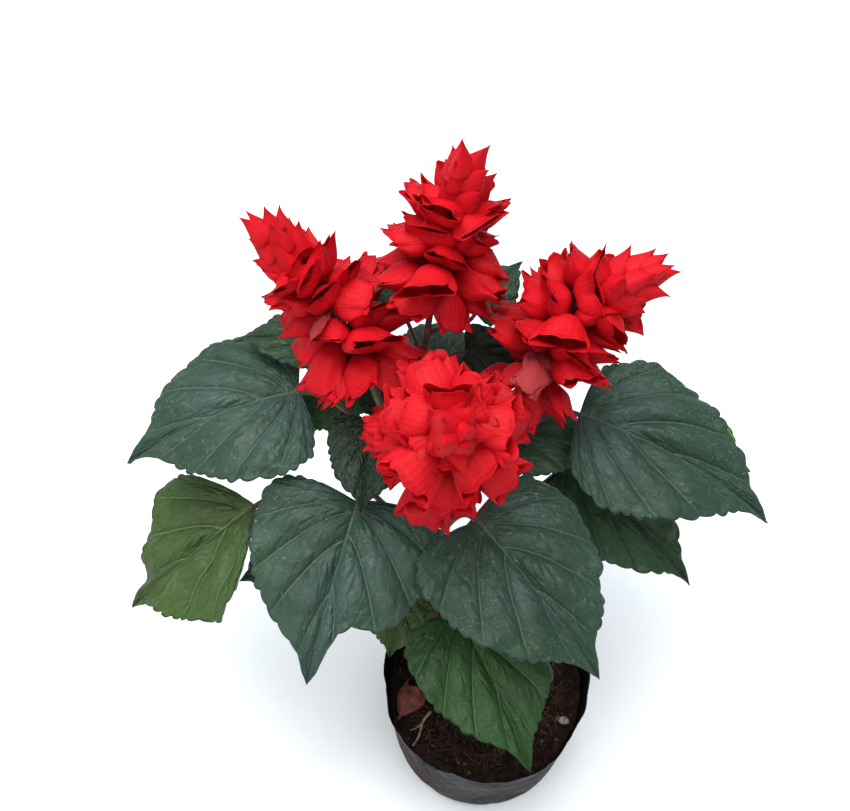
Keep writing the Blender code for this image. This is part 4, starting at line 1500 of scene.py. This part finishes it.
@dataclass(frozen=True)
class Spike:
    """A flower spike: its whorls from the tip down, its cone of buds, and its random seed.

    The cone's core is in millimetres: its length, and its radius at its foot and at its tip.
    """

    stem: Stem
    seed: int
    whorls: tuple[Whorl, ...]
    bud_widening: float = 1.42
    core_length: float = 20
    core_foot: float = 2.2
    core_tip: float = 0.5

    def core(self, start: Array, direction: Array, side: Array) -> Skin:
        """The bar that the buds stand on, which narrows evenly to its tip.

        Args:
            start: Its foot.
            direction: The way it points.
            side: The direction of its first ridge.

        Returns:
            The closed skin.
        """
        climb = np.linspace(0, self.core_length, CORE_RINGS)[:, None] * MM
        radii = np.linspace(self.core_foot, self.core_tip, CORE_RINGS) * MM
        stalk = np.linspace(1, 0.2, CORE_RINGS)
        values = {"along": 0.3, "inside": 0, "stalk": stalk, "tint": 1, "withered": 0}
        path = start + direction * climb
        return tube(path, radii, side, sides=12, ridge=0.1, ridges=3, values=values)

    def buds(self, rng: Random) -> Skin:
        """The core and its tiers of buds, every second tier half a step round.

        Args:
            rng: The random numbers.

        Returns:
            All of them as one skin.
        """
        centre, direction, _ = self.stem.place(1.0)
        start = centre + direction * 2 * CLEARANCE
        first, second = across_frame(direction)
        skins = [self.core(start, direction, first)]
        for tier, (climb, count, tilt, length, width) in enumerate(BUD_TIERS):
            for i in range(count):
                turn = TURN * (i + 0.5 * (tier % 2)) / count + rng.uniform(-0.15, 0.15)
                spoke = cos(turn) * first + sin(turn) * second
                lean = radians(tilt + rng.uniform(-4, 5))
                skins.append(Bud(
                    foot=start + direction * (climb + 1.5) * MM + spoke * 1.2 * MM,
                    direction=cos(lean) * direction + sin(lean) * spoke,
                    spoke=spoke,
                    length=length * MM * rng.uniform(0.94, 1.18),
                    width=width * MM * self.bud_widening * rng.uniform(0.9, 1.1),
                    bend=rng.uniform(-0.12, 0.26),
                    tint=rng.uniform(0, 0.5),
                ).skin())
        return joined(skins)

    def make(self, finish: bpy.types.Material) -> None:
        """Every whorl and the buds, each as one piece in place of its solid.

        Args:
            finish: The calyces' material.
        """
        name = self.stem.spike
        rng = np.random.default_rng(self.seed)
        for number, whorl in enumerate(self.whorls, 1):
            skin, node = whorl.skin(self.stem, rng), f"{name}_whorl_{number}"
            add_piece(f"{name}_calyces_{number}", skin, finish, node)
        add_piece(f"{name}_tip", self.buds(rng), finish, f"{name}_buds")


SPIKES = (
    Spike(STEMS[0], 224, (
        Whorl(7, 6, 60, 24, 13, 0, ruffled=0.8, filled=0.75),
        Whorl(19, 6, 84, 26, 14, 30, ruffled=0.8, uneven=0.14, filled=0.7),
        Whorl(32, 6, 108, 28, 13, 0, ruffled=0.6, uneven=0.14),
        Whorl(45, 3, 138, 26, 11, 262, uneven=0.14, filled=1.3, between=0.24),
    )),
    Spike(STEMS[1], 23, (
        Whorl(6, 5, 58, 20, 12, 0),
        Whorl(19, 5, 82, 22, 13, 36, withered=(3,)),
        Whorl(33, 5, 104, 26, 13, 0),
        Whorl(46, 4, 132, 26, 12, 45, filled=1.0),
    )),
    Spike(STEMS[2], 18, (
        Whorl(6, 5, 58, 20, 12, 0),
        Whorl(18, 6, 86, 23, 13, 36),
        Whorl(31, 6, 110, 25, 13, 0, filled=1.15),
    )),
    Spike(STEMS[3], 142, (
        Whorl(6, 5, 58, 20, 12, 0),
        Whorl(18, 5, 82, 24, 13, 36),
        Whorl(32, 6, 102, 28, 13, 0, withered=(4,)),
        Whorl(46, 3, 132, 26, 12, 270),
    )),
)


# ---------------------------------------------------------------- bag, soil and what lies on it

FILM_SIDES, FILM_OUTER_RINGS, FILM_INNER_RINGS = 300, 64, 34
SOIL_SIDES, SOIL_RINGS = 200, 66
# The film's creases: their turns round the bag, how far the height shears them, and their weight
CREASES = ((3, 1.3, 0.5), (5, -2.1, 0.5), (8, 3.0, 0.42), (11, -4.4, 0.34), (17, 5.2, 0.2))
# The rim's waves: their depth in millimetres, their turns round the bag, and their start
RIM_WAVES = ((0.9, 2, 0.4), (0.5, 5, 2), (0.3, 9, 0))
SOIL_WAVES = np.geomspace(3, 20, 16)  # the lengths in millimetres of the rough top's waves
GOLDEN = (1 + 5**0.5) / 2
CRUMB_FACES = np.array([  # an icosahedron's
    (0, 11, 5), (0, 5, 1), (0, 1, 7), (0, 7, 10), (0, 10, 11), (1, 5, 9), (5, 11, 4),
    (11, 10, 2), (10, 7, 6), (7, 1, 8), (3, 9, 4), (3, 4, 2), (3, 2, 6), (3, 6, 8),
    (3, 8, 9), (4, 9, 5), (2, 4, 11), (6, 2, 10), (8, 6, 7), (9, 8, 1),
])
FIBRE_TAPER = np.array([0.5, 1, 1, 1, 0.9, 0.4])


@dataclass(frozen=True)
class GrowBag:
    """The thin film bag that holds the soil. Millimetres."""

    height: float = 75
    base_radius: float = 46
    rim_radius: float = 50
    folds: int = 5
    fold_depth: float = 0.8
    film: float = 0.3
    corner: float = 9
    crease_depth: float = 1.1
    roll: float = 0.5
    roll_reach: float = 1.5
    seed: int = 41

    def radius(self, angle: Array, height: Array | float) -> Array:
        """The film's outer radius: a taper, broad folds, creases and a rounded bottom corner.

        A crease is 1 - |sin|^0.5 of its own multiple of the angle, sheared by the height. The
        corner draws the radius in by 0.75 corner * (1 - sqrt(1 - (1 - height / corner)^2)).

        Args:
            angle: Angles round the bag.
            height: Heights in millimetres.

        Returns:
            The radius in millimetres.
        """
        share = height / self.height
        folds = np.sin(self.folds * angle + 1.2 * share)
        folds = folds + 0.5 * np.sin((2 * self.folds + 1) * angle)
        rng = np.random.default_rng(self.seed)
        creases = 0.0
        for turns, shear, weight in CREASES:
            start, wander = rng.uniform(0, TURN, 2)
            wavy = 0.9 * np.sin(2 * angle + wander + 3 * share)
            bent = turns * angle + shear * share + start + wavy
            creases = creases + weight * (0.45 - (1 - np.abs(np.sin(bent)) ** 0.5))
        low = np.clip(1 - height / self.corner, 0, 1)
        rounded = self.corner * 0.75 * (1 - np.sqrt(1 - low**2))
        taper = self.base_radius + (self.rim_radius - self.base_radius) * share
        creased = self.crease_depth * (0.35 + 0.65 * share) * creases
        return taper + self.fold_depth * share * folds + creased - rounded

    def rim(self, angle: Array) -> Array:
        """The rim's height in millimetres round the bag: the full height less slow waves."""
        waves = (depth * np.sin(turns * angle + start) for depth, turns, start in RIM_WAVES)
        return self.height - RIM_WAVES[0][0] + sum(waves)

    def rolled(self, rim: Array, heights: Array) -> Array:
        """How far the rim rolls outwards: roll * exp(-(distance below it / roll_reach)^2)."""
        return self.roll * np.exp(-(((rim - heights) / self.roll_reach) ** 2))

    def skin(self) -> Skin:
        """The film, outer face from the base up to the rim and inner face back down to the floor.

        Returns:
            The closed skin.
        """
        angles = np.linspace(0, TURN, FILM_SIDES, endpoint=False)
        rim = self.rim(angles)
        outer = np.linspace(0, 1, FILM_OUTER_RINGS)[:, None] ** 1.15 * rim
        inner = np.linspace(1, 0.02, FILM_INNER_RINGS)[:, None] * (rim - 0.1)
        outer_radius = self.radius(angles, outer)
        inner_radius = self.radius(angles, inner) - self.film + self.rolled(rim, inner)
        base = np.linspace(0.08, 0.97, 6)[:, None] * outer_radius[:1]
        floor = np.linspace(0.95, 0.08, 4)[:, None] * inner_radius[-1:]
        radii = [base, outer_radius + self.rolled(rim, outer), inner_radius, floor]
        heights = [0 * base, outer, np.maximum(inner, self.film), np.full_like(floor, self.film)]
        radii, heights = np.concatenate(radii), np.concatenate(heights)
        rings = np.stack([radii * np.cos(angles), radii * np.sin(angles), heights], axis=-1)
        return lofted(rings * MM, {})

    def make(self, finish: bpy.types.Material) -> None:
        """The film bag in place of its solid."""
        add_piece("film_bag", self.skin(), finish, "grow_bag")


def scattered(count: int, radius: float, rng: Random) -> Array:
    """Random X and Y in a disc: the radius is the root of an even share of the full one."""
    reach, turn = radius * np.sqrt(rng.uniform(0, 1, count)), rng.uniform(0, TURN, count)
    return np.stack([reach * np.cos(turn), reach * np.sin(turn)], axis=-1)


@dataclass(frozen=True)
class SoilFill:
    """The coco peat in the bag, with loose crumbs and fibres on top. Millimetres."""

    bag: GrowBag
    level: float = 58
    ripple: float = 1.5
    crumbs: int = 620
    fibres: int = 620
    seed: int = 7

    def height(self, x: Array | float, y: Array | float) -> Array:
        """The smooth top in millimetres at X and Y in millimetres, as in the soil's solid."""
        waves = np.sin(x / 9) * np.cos(y / 7) + 0.6 * np.sin((x + 2 * y) / 5)
        return self.level + self.ripple * 0.5 * waves

    def rough_height(self, x: Array, y: Array) -> Array:
        """The smooth top with sixteen sine waves on it, each 0.028 of its own length high.

        Args:
            x: X in millimetres.
            y: Y in millimetres.

        Returns:
            The height in millimetres.
        """
        rng = np.random.default_rng(self.seed)
        turns, starts = rng.uniform(0, TURN, (2, len(SOIL_WAVES)))
        height = self.height(x, y)
        for wave, turn, start in zip(SOIL_WAVES, turns, starts):
            away = x * cos(turn) + y * sin(turn)
            height = height + 0.028 * wave * np.sin(TURN * away / wave + start)
        return height

    def body(self) -> Skin:
        """The fill: rings up the film's inner side and then inwards over the top.

        Returns:
            The closed skin.
        """
        angles = np.linspace(0, TURN, SOIL_SIDES, endpoint=False)
        within = self.bag.film + 0.4
        heights = np.array([1.2, 5, 12, 30, 48, 55])[:, None] + 0 * angles
        sides = self.bag.radius(angles, heights) - within
        edge = self.bag.radius(angles, self.level) - within
        top = np.linspace(1.0, 0.01, SOIL_RINGS)[:, None] * edge
        reach = np.concatenate([sides, top])
        x, y = reach * np.cos(angles), reach * np.sin(angles)
        heights = np.concatenate([heights, self.rough_height(x, y)[len(heights) :]])
        return lofted(np.stack([x, y, heights], axis=-1) * MM, {"fibre": 0})

    def crumb_skin(self, rng: Random) -> Skin:
        """The crumbs: icosahedra stretched and roughened by random numbers, bedded in the top.

        Args:
            rng: The random numbers.

        Returns:
            All of them as one skin.
        """
        corner = np.array([(-1, GOLDEN, 0), (1, GOLDEN, 0), (-1, -GOLDEN, 0), (1, -GOLDEN, 0)])
        corner = corner / np.hypot(1, GOLDEN)
        corners = np.vstack([corner, corner[:, [2, 0, 1]], corner[:, [1, 2, 0]]])
        places = scattered(self.crumbs, self.bag.base_radius - 1.5, rng)
        sizes = rng.uniform(0.5, 1.5, self.crumbs) ** 1.6
        rough = rng.uniform(0.72, 1.2, (self.crumbs, 12, 1))
        rough = rough * rng.uniform(0.6, 1.25, (self.crumbs, 1, 3))
        height = self.rough_height(*places.T) + 0.25 * sizes
        points = corners * rough * sizes[:, None, None] + np.column_stack([places, height])[:, None]
        tris = (CRUMB_FACES + 12 * np.arange(self.crumbs)[:, None, None]).reshape(-1, 3)
        tone = np.repeat(rng.uniform(0, 1, self.crumbs) ** 5 * 0.7, 12)
        return Skin(
            points.reshape(-1, 3) * MM, np.zeros((0, 4), int), tris,
            np.zeros((0, 4, 2)), np.zeros((len(tris), 3, 2)), {"fibre": tone},
        ).outward()

    def fibre(self, x: float, y: float, rng: Random) -> Skin:
        """A fibre: a thin three-sided bar along a shallow arc over the top.

        Args:
            x: X of its middle.
            y: Y of its middle.
            rng: The random numbers.

        Returns:
            The closed skin.
        """
        turn, length, bend = rng.uniform(0, TURN), rng.uniform(4, 13), rng.uniform(-0.8, 0.8)
        along = np.linspace(-0.5, 0.5, len(FIBRE_TAPER)) * length
        heading = turn + bend * along / length
        x, y = x + along * np.cos(heading), y + along * np.sin(heading)
        inside = np.minimum(1, (self.bag.base_radius - 1) / np.hypot(x, y))
        x, y = x * inside, y * inside
        lift = rng.uniform(0.0, 1.6) * np.cos(pi * along / length)
        lift = lift + rng.uniform(-0.2, 0.8) * along / length
        path = np.stack([x, y, self.rough_height(x, y) + 0.15 + lift], axis=-1) * MM
        radii = rng.uniform(0.10, 0.24) * FIBRE_TAPER * MM
        values = {"fibre": rng.uniform(0.3, 1.0)}
        return tube(path, radii, UP, sides=3, ridge=0.0, ridges=1, values=values)

    def make(self, finish: bpy.types.Material) -> None:
        """The fill, its crumbs and its fibres as one piece in place of the soil's solid.

        Args:
            finish: The soil's material.
        """
        rng = np.random.default_rng(self.seed + 1)
        skins = [self.body(), self.crumb_skin(rng)]
        middles = scattered(self.fibres, self.bag.base_radius - 6, rng)
        skins += [self.fibre(x, y, rng) for x, y in middles]
        add_piece("coco_peat_fill", joined(skins), finish, "soil")


@dataclass(frozen=True)
class Litter:
    """What lies on the soil: a dried calyx, a fallen petal, a straw and a pebble. Millimetres.

    bit_crumple holds the flattened bells' waves: depth, turns, rate and start.
    """

    soil: SoilFill
    straw_route: tuple[Place, ...] = ((-27, -13, 0), (-31, -18, 0), (-33, -25, 0), (-36, -30, 0))
    fork_route: tuple[Place, ...] = ((-31, -18.5, 0.1), (-34, -21, 0.1), (-37.5, -22.5, 0.1))
    straw_radius: float = 0.85
    fork_radius: float = 0.5
    pebble_size: Place = (5.0, 4.0, 3.0)
    pebble_place: tuple[float, float] = (39.0, -18.0)
    bit_crumple: tuple[tuple[float, ...], ...] = (
        (0.10, 3, 4.0, 0.5), (0.08, 5, -6.0, 2.1), (0.07, 2, 7.0, 4.0), (0.05, 7, 3.0, 1.2),
    )

    def lying(
        self, x: float, y: float, turn: float, length: float, width: float, rise: float, flat: float
    ) -> Skin:
        """A calyx pressed flat on the soil.

        Args:
            x: X of its middle.
            y: Y of its middle.
            turn: The way its mouth points, in degrees from +X.
            length: Its length.
            width: Its width.
            rise: How far above the smooth soil its axis lies.
            flat: Its height over its width.

        Returns:
            The closed skin.
        """
        direction = np.array([cos(radians(turn)), sin(radians(turn)), 0.0])
        foot = np.array([x, y, self.soil.height(x, y) + rise]) * MM - direction * length / 2 * MM
        return Calyx(
            foot=foot, direction=direction, upward=UP, length=length * MM, width=width * MM,
            flat=flat, notch=0.42, flare=0.1, bow=0.04, crumple=np.array(self.bit_crumple),
            tint=0.3,
        ).skin()

    def straw(self) -> Skin:
        """A bent straw with a short fork: two bars along smooth paths just above the soil.

        Returns:
            Both of them as one skin.
        """
        stem = smooth_path(np.array(self.straw_route, float), 8)
        fork = smooth_path(np.array(self.fork_route, float), 8)
        level = self.soil.height(stem[:, 0], stem[:, 1]).max() + 1.1
        bars = []
        for path, radius in ((stem, self.straw_radius), (fork, self.fork_radius)):
            radii = radius * np.linspace(1.0, 0.55, len(path)) * MM
            path = (path + level * UP) * MM
            bars.append(tube(path, radii, UP, sides=10, ridge=0.12, ridges=2, values={}))
        return joined(bars)

    def stone(self) -> Skin:
        """A rounded pebble: an ellipsoid whose radius varies by sines of its two angles.

        Returns:
            The closed skin.
        """
        polar = np.linspace(0.06, pi - 0.06, 22)[:, None]
        around = np.linspace(0, TURN, 28, endpoint=False)[None]
        bulge = 1 + 0.06 * np.sin(3 * around + 2 * polar) + 0.05 * np.sin(5 * polar + around)
        level, upright = np.sin(polar), np.cos(polar) + 0 * around
        ball = np.stack([level * np.cos(around), level * np.sin(around), upright], axis=-1)
        x, y = self.pebble_place
        height = self.pebble_size[2]
        middle = np.array([x, y, self.soil.height(x, y) + height / 2 + 1.0])
        halves = np.array(self.pebble_size) / 2
        return lofted((halves * bulge[..., None] * ball + middle) * MM, {})

    def make(
        self, dried: bpy.types.Material, petal: bpy.types.Material, straw: bpy.types.Material,
        stone: bpy.types.Material,
    ) -> None:
        """The four bits, each in place of its solid.

        Args:
            dried: The dried calyx's material.
            petal: The petal's material.
            straw: The straw's material.
            stone: The pebble's material.
        """
        bell = self.lying(x=-38, y=-8, turn=60, length=17, width=15, rise=2.4, flat=0.24)
        add_piece("dried_calyx_bit", bell, dried, "fallen_calyx")
        shred = self.lying(x=-24, y=33, turn=20, length=7, width=4.6, rise=1.6, flat=0.3)
        add_piece("petal_bit", shred, petal, "fallen_petal")
        add_piece("straw_bit", self.straw(), straw, "dry_straw")
        add_piece("pebble_bit", self.stone(), stone, "pebble")


# ---------------------------------------------------------------- stage


@dataclass(frozen=True)
class Lamp:
    """A square soft light that faces the middle of the plant. Metres and watts."""

    name: str
    place: Place
    size: float
    power: float
    color: Color

    def make(self, target: bpy.types.Object) -> None:
        """Hangs the light and turns it.

        Args:
            target: What it faces.
        """
        data = bpy.data.lights.new(self.name, "AREA")
        data.size, data.energy, data.color = self.size, self.power, self.color
        lamp = bpy.data.objects.new(self.name, data)
        lamp.location = self.place
        aim = lamp.constraints.new("TRACK_TO")
        aim.target, aim.track_axis, aim.up_axis = target, "TRACK_NEGATIVE_Z", "UP_Y"
        bpy.context.scene.collection.objects.link(lamp)


LAMPS = (
    Lamp("sky_panel", (-0.30, 0.42, 1.5), 1.1, 27, (0.90, 0.96, 1.0)),
    Lamp("top_panel", (0.25, -0.15, 1.5), 0.8, 10, (1.0, 1.0, 1.0)),
    Lamp("front_panel", (-0.7, -0.9, 0.9), 1.2, 9, (1.0, 0.985, 0.96)),
)


@dataclass(frozen=True)
class Studio:
    """The pale floor, the sky and the camera. Metres, degrees, and millimetres for the lens."""

    floor_size: float = 6.0
    floor_color: Color = (0.86, 0.87, 0.88)
    sky: Color = (0.86, 0.93, 1.0)
    sky_strength: float = 0.48
    middle: Place = (-0.02, 0.04, 0.16)
    camera_place: Place = (-0.030, -0.168, 0.580)
    camera_tilt: float = 33
    lens: float = 44
    sensor: float = 36

    def floor(self) -> None:
        """A wide pale sheet just under the bag."""
        half = self.floor_size / 2
        corners = [(-half, -half, 0), (half, -half, 0), (half, half, 0), (-half, half, 0)]
        mesh = bpy.data.meshes.new("studio_floor")
        mesh.from_pydata(corners, [], [(0, 1, 2, 3)])
        s = Shader("studio_floor_paper")
        color = s.mix(s.noise(3.0), self.floor_color, tuple(0.98 * c for c in self.floor_color))
        mesh.materials.append(s.finish(color, 0.9))
        sheet = bpy.data.objects.new("studio_floor", mesh)
        bpy.context.scene.collection.objects.link(sheet)

    def make(self) -> None:
        """Floor, lights, sky and camera."""
        scene = bpy.context.scene
        self.floor()
        target = bpy.data.objects.new("studio_target", None)
        target.location = self.middle
        scene.collection.objects.link(target)
        for lamp in LAMPS:
            lamp.make(target)
        world = bpy.data.worlds.new("studio_sky")
        world.use_nodes = True
        background = world.node_tree.nodes["Background"]
        background.inputs["Color"].default_value = (*self.sky, 1)
        background.inputs["Strength"].default_value = self.sky_strength
        scene.world = world
        scene.view_settings.view_transform = "Standard"
        data = bpy.data.cameras.new("studio_camera")
        data.lens, data.sensor_width, data.sensor_fit = self.lens, self.sensor, "HORIZONTAL"
        camera = bpy.data.objects.new("studio_camera", data)
        camera.location = self.camera_place
        camera.rotation_euler = (radians(self.camera_tilt), 0, 0)
        scene.collection.objects.link(camera)
        scene.camera = camera


# ---------------------------------------------------------------- the plant

SEED = 2024


def main() -> None:
    """Builds every piece, then the studio."""
    logging.basicConfig(level=logging.INFO, format="%(message)s")
    bark = StemFinish().material("sage_stem_skin")
    scarlet = CalyxFinish().material("scarlet_calyx_paper")
    blades = {tone: tone.value.material("sage_leaf_" + tone.name.lower()) for tone in Foliage}
    stems = {stem.name: stem for stem in STEMS}

    for stem in STEMS:
        stem.make(bark)
    for number, leaf in enumerate(LEAVES):
        leaf.make(stems[leaf.stem], blades[leaf.tone], np.random.default_rng([SEED, number]))
    for spike in SPIKES:
        spike.make(scarlet)

    bag = GrowBag()
    bag.make(FilmFinish().material("black_film_skin"))
    soil = SoilFill(bag)
    soil.make(PeatFinish().material("damp_coco_peat"))
    Litter(soil).make(
        DryFinish((0.25, 0.060, 0.040), (0.075, 0.015, 0.012)).material("dried_calyx_paper"),
        DryFinish((0.55, 0.08, 0.08), (0.30, 0.02, 0.02), 0.2).material("fallen_petal_paper"),
        GrainFinish((0.34, 0.23, 0.15), (0.16, 0.10, 0.07), 500.0).material("straw_skin"),
        GrainFinish((0.26, 0.23, 0.19), (0.13, 0.11, 0.09), 600.0).material("pebble_skin"),
    )
    Studio().make()

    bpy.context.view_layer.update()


if __name__ == "__main__":
    main()
